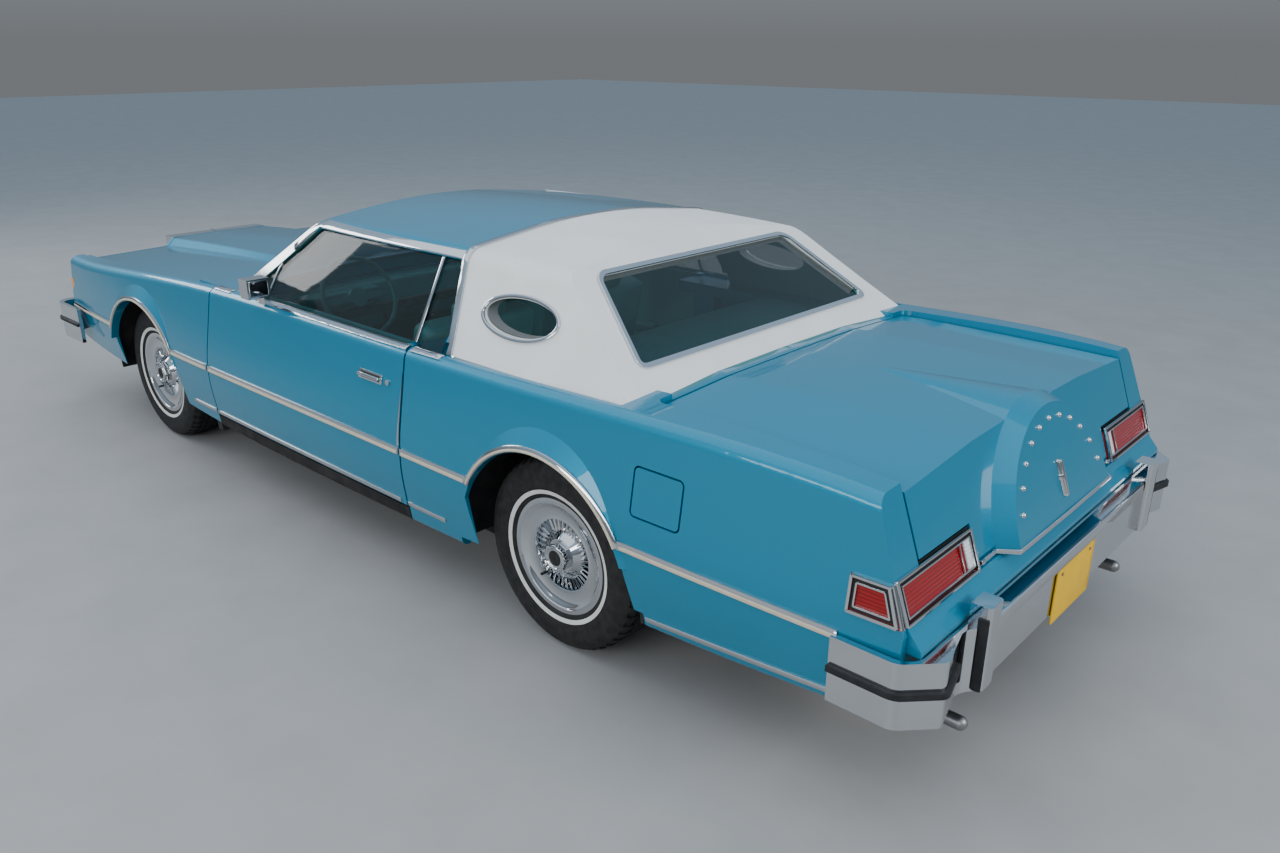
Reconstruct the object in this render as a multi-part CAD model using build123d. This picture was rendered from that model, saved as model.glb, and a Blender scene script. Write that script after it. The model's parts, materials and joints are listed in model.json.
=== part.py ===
from build123d import *
import os
from math import tan, sin, radians, sqrt

# A full-size two-door luxury coupe with a half vinyl roof.
# Units are millimetres. X points forward, Y to the car's left, Z up.
# The finished pieces have their origin on the ground, midway along the car, on its centre plane.
# They are drawn from a datum that lies behind the middle, and moved onto it at the end.

# Overall sizes
overall_length = 5690
wheelbase = 3058
rear_overhang = 1433
middle_x = 75
front_end_x = middle_x + overall_length / 2
rear_end_x = middle_x - overall_length / 2
rear_axle_x = rear_end_x + rear_overhang
front_axle_x = rear_axle_x + wheelbase
roof_height = 1359

# Gaps and walls
panel_gap = 8
seat_gap = 0.3
skin_wall = 22
hood_wall = 24
quarter_wall = 60
filler_wall = 10
roof_wall = 38
crown_lift = 17
glass_wall = 6

# Wheels and track
tyre_radius = 355
tyre_width = 226
rim_radius = 203
half_track = 800
kingpin_y = 700
spindle_radius = 24
bearing_clearance = 0.05

# Wheel openings, measured from the wheel centre
arch_radius = 402
arch_knee = 135
housing_radius = 436
housing_wall = 12
front_housing_y = 468
rear_housing_y = 650

# Doors
door_front_x = 963
door_rear_x = -577
door_depth = 170
door_rear_taper = 36
sill_top_z = 330
belt_z = 940
hinge_line_y = 1003

# Greenhouse
roof_split_low_x = -775
roof_split_high_x = -665
glass_low_z = 950
rail_low_z = 1262
windscreen_base_x = 1010
windscreen_slope = 33
windscreen_radius = 3750
backlight_top_x = -1120
backlight_top_z = 1326
backlight_slope = 35.5

# Nose and tail
fender_tip_x = 2762
hood_front_x = 2712
hood_rear_x = 1080
hood_rear_radius = 4200
lid_front_x = -1682
tail_x = -2650
tail_low_x = -2656
tail_slant = 20
lamp_low_z = 640
lamp_high_z = 748
bumper_low_z = 372
bumper_high_z = 570

flank_inner_y = 700
waist_z = 545
lamp_inner_y = 520
lamp_front_x = -2490
hump_radius = 398
hump_z = 628
hump_low_z = 648
hump_depth = 54
hump_taper = 38
crest_tip_x = -1950
crest_tip_z = 974
lid_wall = 16
lid_low_z = 768
bumper_half = 990
bumper_wall = 52
bumper_side_wall = 20
rear_bar_x = 2746
rear_bar_wall = 44
grille_half = 305
grille_front_x = 2862
grille_low_z = bumper_high_z + 3

# Headlamp covers, which turn about a bar behind them
cover_pivot_x = 2610
cover_pivot_z = 640
cover_pin_radius = 6
cover_low_z = 565
cover_high_z = 715

# Floor, cowl and shelf
floor_low_z = 236
cowl_low_z = 868
cowl_front_x = 1165
pillar_foot_x = 724
shelf_low_z = 925
shaft_z = 300
door_inner_y = hinge_line_y - door_depth

# Side glass
divider_x = -552
glass_inset = 8
opera_x = -1040
opera_z = 1122
opera_length = 357
opera_height = 120

# Steering
pin_radius = 12
wheel_centre_x = 590
wheel_centre_z = 862
driver_y = 372
column_angle = 24
fin_count = 36

# Fuel filler door, and the flares over the wheel openings
fuel_x = -1838
fuel_z = 752
fuel_half_length = 92
fuel_half_height = 75
flare_radius = 486
flare_lip_radius = 408
flare_root_y = 946
flare_lip_y = 994
guard_inner_y = 612
guard_outer_y = 690
guard_rise = 66

# The car's side, as sections from nose to tail.
# Columns: x, waist half width, shoulder half width, shoulder height, sill half width, sill height
flank_table = (
    (2800, 928, 898, 838, 900, 360),
    (1721, 992, 940, 898, 950, 285),
    (963, 1003, 928, 938, 962, 258),
    (-577, 1004, 922, 948, 962, 258),
    (-1337, 1000, 926, 962, 954, 270),
    (-2760, 958, 908, 934, 926, 366),
)

# The roof and pillars, as arches from windscreen to backlight.
# Columns: x, belt half width, rail half width, rail height, crown height
roof_table = (
    (1150, 868, 664, 1240, 1296),
    (330, 872, 680, 1286, 1342),
    (-400, 874, 686, 1300, roof_height),
    (-1130, 872, 676, 1284, 1342),
    (-1760, 868, 650, 1236, 1292),
)

# The hood's skin, from nose to windscreen.
# Columns: x, centre height, dome half width, dome height, dome step, edge half width, edge height
hood_table = (
    (2760, 876, 306, 868, 44, 800, 812),
    (1800, 938, 330, 928, 34, 832, 886),
    (900, 978, 380, 966, 16, 858, 930),
)

# The deck's skin, from backlight to tail.
# Columns: x, centre height, middle half width, middle height, edge half width, edge height
deck_table = (
    (-1600, 972, 400, 970, 782, 954),
    (-2100, 978, 400, 974, 800, 950),
    (-2640, 962, 400, 956, 806, 934),
)


def at(x, y, z):
    return Vector(x, y, z)


def block(x0, x1, y0, y1, z0, z1):
    """A plain block between two corners."""
    size = (abs(x1 - x0), abs(y1 - y0), abs(z1 - z0))
    return Pos((x0 + x1) / 2, (y0 + y1) / 2, (z0 + z1) / 2) * Box(*size)


def outline(points, radii):
    """A closed face of straight runs, with an arc at each corner that has a radius."""
    points = [Vector(*p) for p in points]
    count = len(points)
    starts = []
    ends = []
    arcs = []
    for i in range(count):
        corner = points[i]
        back = (points[i - 1] - corner).normalized()
        ahead = (points[(i + 1) % count] - corner).normalized()
        if radii[i] == 0:
            starts.append(corner)
            ends.append(corner)
            continue
        half = radians(back.get_angle(ahead) / 2)
        reach = radii[i] / tan(half)
        middle = (back + ahead).normalized()
        start = corner + back * reach
        end = corner + ahead * reach
        inside = corner + middle * (radii[i] / sin(half) - radii[i])
        starts.append(start)
        ends.append(end)
        arcs.append(ThreePointArc(start, inside, end))
    runs = [Line(ends[i], starts[(i + 1) % count]) for i in range(count)]
    return make_face(Wire(runs + arcs))


def side_prism(points, radii, y0, y1):
    """An outline in side view, given as x and z, between two y planes."""
    face = outline([(x, y0, z) for x, z in points], radii)
    return extrude(face, amount=y1 - y0, dir=(0, 1, 0))


def plan_prism(points, radii, z0, z1):
    """An outline in plan view, given as x and y, between two heights."""
    face = outline([(x, y, z0) for x, y in points], radii)
    return extrude(face, amount=z1 - z0, dir=(0, 0, 1))


def disc(x, y0, y1, z, radius):
    """A round bar along Y."""
    return Pos(x, (y0 + y1) / 2, z) * Rot(90, 0, 0) * Cylinder(radius, abs(y1 - y0))


def tube_between(start, end, radius):
    """A round bar from one point to another."""
    start = Vector(*start)
    end = Vector(*end)
    along = end - start
    return extrude(Plane(origin=start, z_dir=along) * Circle(radius), amount=along.length)


def both(shape):
    """The shape and its mirror image on the other side of the car."""
    return Compound(children=[shape, mirror(shape, about=Plane.XZ)])


def right(shape):
    return mirror(shape, about=Plane.XZ)


def flank(inset, inner_y, drop=0):
    """The car's left side as one solid, drawn in by an inset."""
    faces = []
    for x, waist_y, shoulder_y, shoulder_z, sill_y, sill_z in flank_table:
        faces.append(
            outline(
                [
                    (x, inner_y, shoulder_z - inset + 6),
                    (x, shoulder_y - inset, shoulder_z - inset),
                    (x, waist_y - inset, waist_z),
                    (x, sill_y - inset, sill_z - drop),
                    (x, inner_y, sill_z - drop),
                ],
                [0, 46, 700, 30, 0],
            )
        )
    return loft(faces)


def greenhouse(inset):
    """Roof, pillars and windscreen frame as one solid, drawn in by an inset."""
    faces = []
    for x, belt_y, rail_y, rail_z, crown_z in roof_table:
        faces.append(
            outline(
                [
                    (x, -belt_y + inset, belt_z - inset),
                    (x, -rail_y + inset, rail_z - inset),
                    (x, 0, crown_z + crown_lift - inset),
                    (x, rail_y - inset, rail_z - inset),
                    (x, belt_y - inset, belt_z - inset),
                ],
                [0, 92, 3200, 92, 0],
            )
        )
    body = loft(faces)
    slope = radians(windscreen_slope)
    normal = Vector(sin(slope), 0, cos_of(windscreen_slope))
    along = Vector(-cos_of(windscreen_slope), 0, sin(slope))
    base = at(windscreen_base_x, 0, belt_z)
    radius = windscreen_radius - inset
    centre = base - normal * windscreen_radius - along * 600
    front = extrude(Plane(origin=centre, z_dir=along) * Circle(radius), amount=4400)
    tail = backlight_block(inset)
    return body & front - tail


def cos_of(angle):
    return sin(radians(90 - angle))


def backlight_plane(depth):
    """The plane of the sloping rear face, a depth inside it."""
    normal = Vector(-sin(radians(backlight_slope)), 0, cos_of(backlight_slope))
    origin = at(backlight_top_x, 0, backlight_top_z) - normal * depth
    return Plane(origin=origin, x_dir=(0, 1, 0), z_dir=normal)


def backlight_block(depth):
    """Everything behind the sloping rear face."""
    return extrude(backlight_plane(depth) * Rectangle(2600, 2600), amount=900)


def windscreen_plane():
    slope = radians(windscreen_slope)
    normal = Vector(sin(slope), 0, cos_of(windscreen_slope))
    origin = at(windscreen_base_x, 0, belt_z)
    return Plane(origin=origin, x_dir=(0, 1, 0), z_dir=normal)


# Half the windscreen's outline on its own plane: across the car, then up the slope.
# A positive v on this plane runs down the slope, so heights are negative here.
screen_low_z = 960
screen_high = 640
screen_depth = 150


def screen_prism(margin, low, high):
    """The windscreen's outline through the frame, grown by a margin."""
    half_low = 770 + margin
    half_high = 618 + margin
    plane = windscreen_plane()
    up = Vector(-cos_of(windscreen_slope), 0, sin(radians(windscreen_slope)))
    sign = 1 if plane.y_dir.dot(up) > 0 else -1
    v0 = -sign * 100
    v1 = sign * (screen_high + margin)
    points = [(-half_low, v0), (half_low, v0), (half_high, v1), (-half_high, v1)]
    if sign < 0:
        points.reverse()
    face = plane * make_face(Polyline(*points, close=True))
    shape = extrude(face, amount=high) + extrude(face, amount=-low)
    return shape & block(-400, 1400, -1000, 1000, screen_low_z - margin, 1500)


def backlight_prism(margin, low, high):
    """The rear window's outline through the sloping face, grown by a margin."""
    plane = backlight_plane(0)
    up = Vector(cos_of(backlight_slope), 0, sin(radians(backlight_slope)))
    sign = 1 if plane.y_dir.dot(up) > 0 else -1
    v0 = -sign * (110 - margin)
    v1 = -sign * (500 + margin)
    half_high = 548 + margin
    half_low = 690 + margin
    points = [(-half_high, v0), (half_high, v0), (half_low, v1), (-half_low, v1)]
    if sign < 0:
        points.reverse()
    shape = make_face(Polyline(*points, close=True))
    shape = fillet(shape.vertices(), 34 + margin)
    face = plane * shape
    return extrude(face, amount=high) + extrude(face, amount=-low)


def arch_prism(axle_x, grow, y0, y1):
    """A wheel opening: round above the trim line and raked back below it."""
    radius = arch_radius + grow
    knee = sqrt(radius**2 - arch_knee**2)
    low = -tyre_radius
    ring = disc(axle_x, y0, y1, tyre_radius, radius)
    ring = ring & block(axle_x - 900, axle_x + 900, y0, y1, tyre_radius + arch_knee, 1400)
    below = side_prism(
        [
            (axle_x - knee, tyre_radius + arch_knee),
            (axle_x - knee - 106, tyre_radius + low),
            (axle_x + knee - 84, tyre_radius + low),
            (axle_x + knee, tyre_radius + arch_knee),
        ],
        [0, 0, 0, 0],
        y0,
        y1,
    )
    return ring + below


def flare(axle_x):
    """A crescent-shaped swelling over a wheel opening, drawn as part of a cone."""
    length = flare_lip_y - flare_root_y
    cone = Pos(axle_x, flare_root_y + length / 2, tyre_radius) * Rot(-90, 0, 0)
    cone = cone * Cone(flare_radius, flare_lip_radius, length)
    return cone & block(axle_x - 600, axle_x + 600, 900, 1100, tyre_radius + arch_knee, 1100)


def side_window_prism(margin):
    """The side glass opening, from windscreen pillar to vinyl roof."""
    low = glass_low_z - margin
    high = rail_low_z + margin
    return side_prism(
        [(724 + margin, low), (333 + margin, high), (split_x(high) + 34, high), (split_x(low) + 34, low)],
        [0, 0, 0, 70],
        400,
        1100,
    )


def split_x(z):
    """Where the vinyl roof starts at a height."""
    share = (z - belt_z) / (roof_height - belt_z)
    return roof_split_low_x + share * (roof_split_high_x - roof_split_low_x)


def split_prism(front):
    """The space ahead of, or behind, the front edge of the vinyl roof."""
    far = 2000 if front else -2600
    offset = 0 if front else -seat_gap
    points = [
        (split_x(800) + offset, 800),
        (far, 800),
        (far, 1500),
        (split_x(1500) + offset, 1500),
    ]
    if not front:
        points.reverse()
    return side_prism(points, [0] * 4, -1100, 1100)


def door_prism(grow):
    """The space of the left door, with its rear edge tapered towards the cabin."""
    front = door_front_x - panel_gap / 2 + grow
    rear = door_rear_x + panel_gap / 2 - grow
    inner = hinge_line_y - door_depth - grow
    taper = door_rear_taper
    outer = hinge_line_y + 120
    return plan_prism(
        [
            (rear - taper * 120 / door_depth, outer),
            (front, outer),
            (front, inner),
            (rear + taper, inner),
        ],
        [0, 0, 0, 0],
        sill_top_z - grow,
        belt_z + 60,
    )


def hood_plan(grow):
    """The hood's outline in plan, with its swept-back rear edge."""
    low = hood_edge_y(hood_front_x) + grow
    high = hood_edge_y(hood_rear_x) + grow
    shape = plan_prism(
        [(hood_front_x + grow, -low), (hood_front_x + grow, low), (800, high + 3), (800, -high - 3)],
        [0, 0, 0, 0],
        600,
        1100,
    )
    centre_x = hood_rear_x - grow - hood_rear_radius
    rear = Pos(centre_x, 0, 850) * Cylinder(hood_rear_radius, 600)
    return shape - rear


def hood_edge_y(x):
    """The hood's half width at a station, from its table."""
    first, last = hood_table[0], hood_table[-1]
    share = (first[0] - x) / (first[0] - last[0])
    return first[5] + share * (last[5] - first[5])


def hood_skin(inset, low):
    """The space under the hood's skin, down to a height."""
    faces = []
    for x, centre_z, dome_y, dome_z, step, edge_y, edge_z in hood_table:
        faces.append(
            outline(
                [
                    (x, -1000, low),
                    (x, -1000, edge_z - inset),
                    (x, -edge_y, edge_z - inset),
                    (x, -dome_y - 46, dome_z - step - inset),
                    (x, -dome_y, dome_z - inset),
                    (x, 0, centre_z - inset),
                    (x, dome_y, dome_z - inset),
                    (x, dome_y + 46, dome_z - step - inset),
                    (x, edge_y, edge_z - inset),
                    (x, 1000, edge_z - inset),
                    (x, 1000, low),
                ],
                [0, 0, 30, 26, 20, 2500, 20, 26, 30, 0, 0],
            )
        )
    return loft(faces)


def lid_plan(grow):
    """The boot lid's outline in plan."""
    front = 774 + grow
    rear = 806 + grow
    return plan_prism(
        [
            (lid_front_x + grow, -front),
            (lid_front_x + grow, front),
            (-3000, rear + 6),
            (-3000, -rear - 6),
        ],
        [40, 40, 0, 0],
        560,
        1100,
    )


def deck_skin(inset, low):
    """The space under the deck's skin, down to a height."""
    faces = []
    for x, centre_z, middle_y, middle_z, edge_y, edge_z in deck_table:
        faces.append(
            outline(
                [
                    (x, -1000, low),
                    (x, -1000, edge_z - inset),
                    (x, -edge_y, edge_z - inset),
                    (x, -middle_y, middle_z - inset),
                    (x, 0, centre_z - inset),
                    (x, middle_y, middle_z - inset),
                    (x, edge_y, edge_z - inset),
                    (x, 1000, edge_z - inset),
                    (x, 1000, low),
                ],
                [0, 0, 40, 300, 3000, 300, 40, 0, 0],
            )
        )
    return loft(faces)


def tail_plane(offset):
    """The slanted plane across the tail, moved rearwards by an offset."""
    normal = Vector(-cos_of(tail_slant), 0, sin(radians(tail_slant)))
    return Plane(origin=at(tail_x, 0, lamp_low_z) + normal * offset, x_dir=(0, 1, 0), z_dir=normal)


def behind_tail(offset):
    """Everything behind the tail: slanted across the lamps, upright behind the bumper."""
    low = block(-3400, tail_low_x - offset, -1300, 1300, 0, lamp_low_z - 20)
    return extrude(tail_plane(offset) * Rectangle(2600, 2600), amount=900) + low


# Body panels

flank_outer = flank(0, flank_inner_y)
flank_inner = flank(skin_wall, 0, 400)
flank_cavity = flank(skin_wall + seat_gap, 0, 400)
flank_quarter_inner = flank(quarter_wall, 0, 400)
cabin_half = flank_inner_y - seat_gap
housing_outer = housing_radius + housing_wall


def make_fender():
    """Front fender: outer skin, closed nose and top strip beside the hood."""
    hollow = flank_inner & block(0, fender_tip_x - 24, 0, 1200, -400, 1200)
    outer = flank_outer + flare(front_axle_x)
    shape = (outer & block(door_front_x + panel_gap / 2, fender_tip_x, 0, 1200, 0, 1200)) - hollow
    shape -= arch_prism(front_axle_x, 0, 500, 1200)
    shape -= hood_plan(panel_gap)
    shape -= block(700, cowl_front_x, 0, 877, cowl_low_z, 1200)
    shape -= block(fender_tip_x - 60, fender_tip_x + 10, 0, 830, 0, 1200)
    shape -= block(fender_tip_x - 40, fender_tip_x + 10, 846, 922, cover_low_z, cover_high_z)
    return shape


def make_door():
    """Door shell as thick as the whole door, up to the belt."""
    shape = flank_outer & door_prism(0)
    shape -= block(door_rear_x + 70, door_front_x - 190, 840, 884, sill_top_z + 90, 1200)
    shape -= block(pillar_foot_x - panel_gap, 1000, 800, 876, cowl_low_z - 40, 1200)
    return shape


def make_quarter():
    """Rear quarter: side wall from the door to the tail, with the wheel opening."""
    hollow = flank_quarter_inner - behind_tail(-40)
    shape = flank_outer + flare(rear_axle_x) - hollow
    shape += flank_outer & block(door_rear_x - 70, door_rear_x + 60, door_inner_y - 12, 1200, 0, 1200)
    shape = shape & block(tail_x - 200, door_rear_x + 60, 0, 1200, 0, 1200)
    shape -= door_prism(panel_gap)
    shape -= block(door_rear_x - panel_gap / 2, 0, 0, 1200, 0, sill_top_z + 5)
    for z in (440, 680):
        shape += block(door_rear_x - 30, door_rear_x + 40, 890, 920, z, z + 30) - door_prism(seat_gap)
    shape -= arch_prism(rear_axle_x, 0, 500, 1200)
    room = disc(rear_axle_x, 400, 1100, tyre_radius, housing_outer + seat_gap)
    room += block(
        rear_axle_x - housing_outer - seat_gap, rear_axle_x + housing_outer + seat_gap, 400, 1100, 0, tyre_radius
    )
    shape -= room & flank_inner
    shape -= lid_plan(panel_gap)
    shape -= behind_tail(0)
    roof_foot = block(-1760, door_rear_x + 100, 0, 876, belt_z - seat_gap, 1200)
    shape -= roof_foot - backlight_block(-seat_gap)
    shape -= block(tail_x - 100, lamp_front_x, 0, 1200, lamp_low_z, lamp_high_z)
    return shape


def fuel_outline(grow, y0, y1):
    """The filler door's outline in side view."""
    half_x = fuel_half_length + grow
    half_z = fuel_half_height + grow
    return side_prism(
        [
            (fuel_x - half_x, fuel_z - half_z),
            (fuel_x + half_x, fuel_z - half_z),
            (fuel_x + half_x, fuel_z + half_z),
            (fuel_x - half_x, fuel_z + half_z),
        ],
        [14 + grow] * 4,
        y0,
        y1,
    )


def make_hood():
    return (hood_skin(0, 600) - hood_skin(hood_wall, 500)) & hood_plan(0)


def hump(radius, low, high, taper=0):
    """The round spare-wheel shape on the tail's plane, between two offsets from it."""
    face = tail_plane(low) * Pos(0, hump_v(), 0) * Circle(radius)
    return extrude(face, amount=high - low, taper=taper)


def hump_v():
    """How far the hump's centre lies above the lamp line on the tail's plane."""
    plane = tail_plane(0)
    rise = (hump_z - lamp_low_z) / cos_of(tail_slant)
    return rise if plane.y_dir.Z > 0 else -rise


def make_lid():
    """Boot lid: top skin, rear face and the round hump."""
    shape = (deck_skin(0, 560) - deck_skin(20, 500)) & lid_plan(0)
    shape -= behind_tail(0)
    face = behind_tail(-lid_wall) - behind_tail(0)
    span = block(-2900, -2400, -1000, 1000, lid_low_z, 1100)
    span += block(-2900, -2400, panel_gap - lamp_inner_y, lamp_inner_y - panel_gap, hump_low_z, 1100)
    shape += face & deck_skin(0, 560) & lid_plan(0) & span
    bulge = hump(hump_radius, -lid_wall, 0) + hump(hump_radius, 0, hump_depth, hump_taper)
    return shape + crest() + (bulge & span)


def crest():
    """The soft ridge on the deck, from the top of the round hump forward to a point."""
    foot = tail_plane(0) * Pos(0, hump_v(), 0) * Circle(hump_radius)
    tip = Plane(origin=(crest_tip_x, 0, crest_tip_z), x_dir=(0, 1, 0), z_dir=(-1, 0, 0)) * Circle(3)
    ridge = loft([foot, tip]) & block(-2640, crest_tip_x, -500, 500, 900, 1100)
    return ridge - deck_skin(4, 500)


def make_landau():
    shape = greenhouse(0) - greenhouse(roof_wall)
    shape = shape & split_prism(False)
    shape -= backlight_prism(0, 80, 90)
    shape -= opera_prism(0)
    return shape


def opera_prism(margin):
    """The oval window in the rear pillar, through both sides."""
    face = Plane(origin=(opera_x, -1000, opera_z), x_dir=(1, 0, 0), z_dir=(0, -1, 0)) * Ellipse(
        opera_length / 2 + margin, opera_height / 2 + margin
    )
    return extrude(face, amount=-2000)


def make_roof():
    shape = greenhouse(0) - greenhouse(roof_wall)
    shape = shape & split_prism(True)
    opening = side_window_prism(0) + side_foot_prism()
    shape -= opening
    shape -= right(opening)
    shape -= screen_prism(0, screen_depth, 60)
    return shape


def side_foot_prism():
    """The open strip between door top and glass, from pillar foot to vinyl roof."""
    return block(split_x(belt_z) + 34, pillar_foot_x, 400, 1100, belt_z - 60, glass_low_z + 40)


def glass_sheet():
    """A thin sheet along the greenhouse, just inside its outer face."""
    return greenhouse(glass_inset) - greenhouse(glass_inset + glass_wall)


# Structure, seen below and inside


def make_frame():
    front = block(1166, 2690, 360, 440, 230, 350) + block(1166, 1260, 360, 440, 165, 300)
    front += block(1000, 1200, 360, 695, 165, floor_low_z - seat_gap)
    middle = block(-820, 1010, 620, 695, 165, floor_low_z - seat_gap)
    rear = side_prism(
        [
            (-790, 165),
            (-790, floor_low_z - seat_gap),
            (-900, floor_low_z - seat_gap),
            (-1080, 500),
            (-1580, 500),
            (-1760, 400),
            (tail_low_x, 400),
            (tail_low_x, 330),
            (-1740, 330),
            (-1560, 430),
            (-1100, 430),
            (-930, 165),
        ],
        [0] * 12,
        480,
        560,
    )
    rear += block(-880, -790, 480, 695, 165, floor_low_z - seat_gap)
    side = front + middle + rear
    cross = block(1640, 1800, -380, 380, 230, 300) + block(2600, 2680, -380, 380, 250, 330)
    cross += block(560, 640, -640, 640, 165, 185) + block(-2640, -2560, -500, 500, 340, 400)
    cross += block(-1740, -1700, -500, 500, 340, 380) - block(-1800, -1600, -470, 470, 200, 700)
    return side + right(side) + cross


def make_floor():
    shape = block(-572, 1165, -cabin_half, cabin_half, floor_low_z, floor_low_z + 20)
    shape += block(1150, 1165, -cabin_half, cabin_half, floor_low_z, cowl_low_z - seat_gap)
    shape += block(-572, -560, -cabin_half, cabin_half, floor_low_z, 358)
    shape += block(-880, -560, -cabin_half, cabin_half, 346, 358)
    inner = rear_housing_y - seat_gap
    shape += block(-892, -880, -inner, inner, 346, 520) + block(-1772, -880, -inner, inner, 508, 520)
    shape += block(-1810, -1760, -inner, inner, 430, 442) + block(-1772, -1760, -inner, inner, 430, 520)
    shape += block(tail_low_x + 42, -1800, -884, 884, 430, 442)
    shape += block(tail_low_x + 2, -1800, -cabin_half, cabin_half, 430, 442)
    shape += block(-1112, -1100, -inner, inner, 508, shelf_low_z - seat_gap)
    # Tunnel over the gearbox and the propeller shaft
    shape += block(600, 1165, -152, 152, floor_low_z, 424) + block(-892, 600, -152, 152, floor_low_z, 358)
    shape -= block(612, 1200, -140, 140, 100, 412)
    shape -= block(-900, 620, -140, 140, 100, 346)
    # Sills and door posts
    sill = flank_outer & block(door_rear_x + 4.3, door_front_x + 3.7, cabin_half - 1, 1200, 0, sill_top_z - panel_gap)
    sill += block(door_rear_x + 4.3, door_front_x + 3.7, cabin_half - 1, cabin_half + 20, floor_low_z, 284)
    post_front = door_front_x + panel_gap / 2 + seat_gap
    post = flank_cavity & block(post_front, 1010, cabin_half - 1, 1200, floor_low_z, cowl_low_z - seat_gap)
    post += block(1000, 1165, cabin_half - 1, cabin_half + 12, floor_low_z, cowl_low_z - seat_gap)
    shape += sill + post + right(sill) + right(post)
    return shape


def wheelhouse(axle_x, inner_y, low_z):
    """A wheel's inner housing: a drum open below and outboard."""
    outer = disc(axle_x, inner_y - housing_wall, 1000, tyre_radius, housing_outer)
    outer += block(axle_x - housing_outer, axle_x + housing_outer, inner_y - housing_wall, 1000, low_z, tyre_radius)
    outer -= block(axle_x - 600, axle_x + 600, 0, 1100, -400, low_z)
    room = disc(axle_x, inner_y, 1010, tyre_radius, housing_radius)
    room += block(axle_x - housing_radius, axle_x + housing_radius, inner_y, 1010, -400, tyre_radius)
    room += block(axle_x - housing_radius, axle_x + housing_radius, 0, inner_y + 1, -400, 560)
    return outer - room


def make_front_aprons():
    side = wheelhouse(front_axle_x, front_housing_y, 300)
    edge = front_axle_x + housing_outer
    side += block(1165.3, edge, front_housing_y - housing_wall, front_housing_y, 560, 811)
    side += block(edge - 1, 2512, front_housing_y - housing_wall, front_housing_y, 560, 772)
    side += block(1165.3, edge, front_housing_y - housing_wall, 1000, 799, 811)
    side += block(edge - 12, edge, front_housing_y - housing_wall, 1000, 760, 811)
    side += block(edge - 12, 2525, front_housing_y - housing_wall, 1000, 760, 772)
    side = side & flank_cavity
    return both(side + hood_stop(2430, 760))


def hood_stop(x, z):
    """A round stop that the closed hood rests on."""
    return Pos(x, 740, z + 60) * Cylinder(14, 120) & hood_skin(hood_wall + seat_gap, 600)


def make_rear_housings():
    side = wheelhouse(rear_axle_x, rear_housing_y + housing_wall, 300)
    side = side & flank_cavity
    side -= block(-2000, -800, 0, 700, 0, 508 - seat_gap)
    return both(side)


def make_cowl():
    """Panel between hood and windscreen, with the pillar feet."""
    post_x = door_front_x + panel_gap / 2
    top = block(800, post_x, -868, 868, cowl_low_z, belt_z - seat_gap)
    top += block(post_x, cowl_front_x - seat_gap, -876.7, 876.7, cowl_low_z, belt_z - seat_gap)
    top -= hood_plan(panel_gap)
    inner = greenhouse(90)
    cut = inner & block(-400, 1200, -780, 780, 700, 1100)
    ledge = block(cowl_front_x - 260, cowl_front_x - seat_gap, -830, 830, cowl_low_z, cowl_low_z + 10)
    foot = block(pillar_foot_x, door_front_x, 790, 868, cowl_low_z - 20, belt_z - seat_gap)
    shape = top - cut - block(700, 925, -790, 790, 800, 1000) + ledge
    stop = hood_stop(1110, cowl_low_z)
    return shape + foot + right(foot) + stop + right(stop)


def make_shelf():
    """Parcel shelf and the panel between rear window and boot lid."""
    shape = block(lid_front_x + panel_gap, -1020, -cabin_half, cabin_half, shelf_low_z, belt_z - seat_gap)
    rise = deck_skin(0, 560) & block(lid_front_x + panel_gap, -1500, -cabin_half, cabin_half, shelf_low_z, 1100)
    return shape + (rise & backlight_block(-seat_gap))


def make_nose():
    half = 830 - seat_gap
    shape = hood_skin(0, 560) & block(2720, 2748, -half, half, cover_high_z + 7, 1000)
    sweep = disc(cover_pivot_x, 322.5, 787.5, cover_pivot_z, 152)
    shape -= sweep + right(sweep)
    shape += block(2703, 2748, -half, half, 480, cover_low_z - 6)
    side = block(2720, 2748, 308, 322, 480, 740) + block(2720, 2748, 788, half, 480, 740)
    return shape + side + right(side)


def make_grille():
    shell = block(2748.3, grille_front_x - 20, -grille_half, grille_half, grille_low_z, 872)
    shell -= block(2700, 2900, -grille_half + 34, grille_half - 34, grille_low_z + 24, 838)
    back = block(2748.3, 2756, -grille_half + 30, grille_half - 30, grille_low_z + 20, 842)
    shape = shell + back
    count = 18
    step = 2 * (grille_half - 34) / count
    for i in range(1, count):
        y = -grille_half + 34 + step * i
        shape += block(2750, grille_front_x - 26, y - 3, y + 3, grille_low_z + 20, 840)
    shape += block(2750, grille_front_x, -7, 7, grille_low_z + 1, 874)
    return shape


def bumper():
    """The U-shaped front bumper bar."""
    front = front_end_x - 25
    wrap_x = 2560
    outer = plan_prism(
        [(wrap_x, -bumper_half), (front, -bumper_half), (front, bumper_half), (wrap_x, bumper_half)],
        [0, 90, 90, 0],
        bumper_low_z,
        bumper_high_z,
    )
    inner_half = bumper_half - bumper_side_wall
    inner = plan_prism(
        [
            (wrap_x - 50, -inner_half),
            (front - bumper_wall, -inner_half),
            (front - bumper_wall, inner_half),
            (wrap_x - 50, inner_half),
        ],
        [0, 50, 50, 0],
        bumper_low_z - 10,
        bumper_high_z + 10,
    )
    return outer - inner


def guards(end_x):
    """A pair of upright guards, given towards positive x."""
    top = bumper_high_z + guard_rise
    bar = block(end_x - 60, end_x, guard_inner_y, guard_outer_y, bumper_low_z + 8, top)
    bar = fillet(bar.edges().filter_by(Axis.Z).sort_by(Axis.X)[-2:], 14)
    return bar + right(bar)


def make_front_bumper():
    shape = bumper() + guards(front_end_x)
    mount = block(2690.3, 2860, 370, 430, 380, 440)
    mount += block(2690.3, 2716, 370, 430, 240, 440)
    return shape + mount + right(mount)


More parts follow.
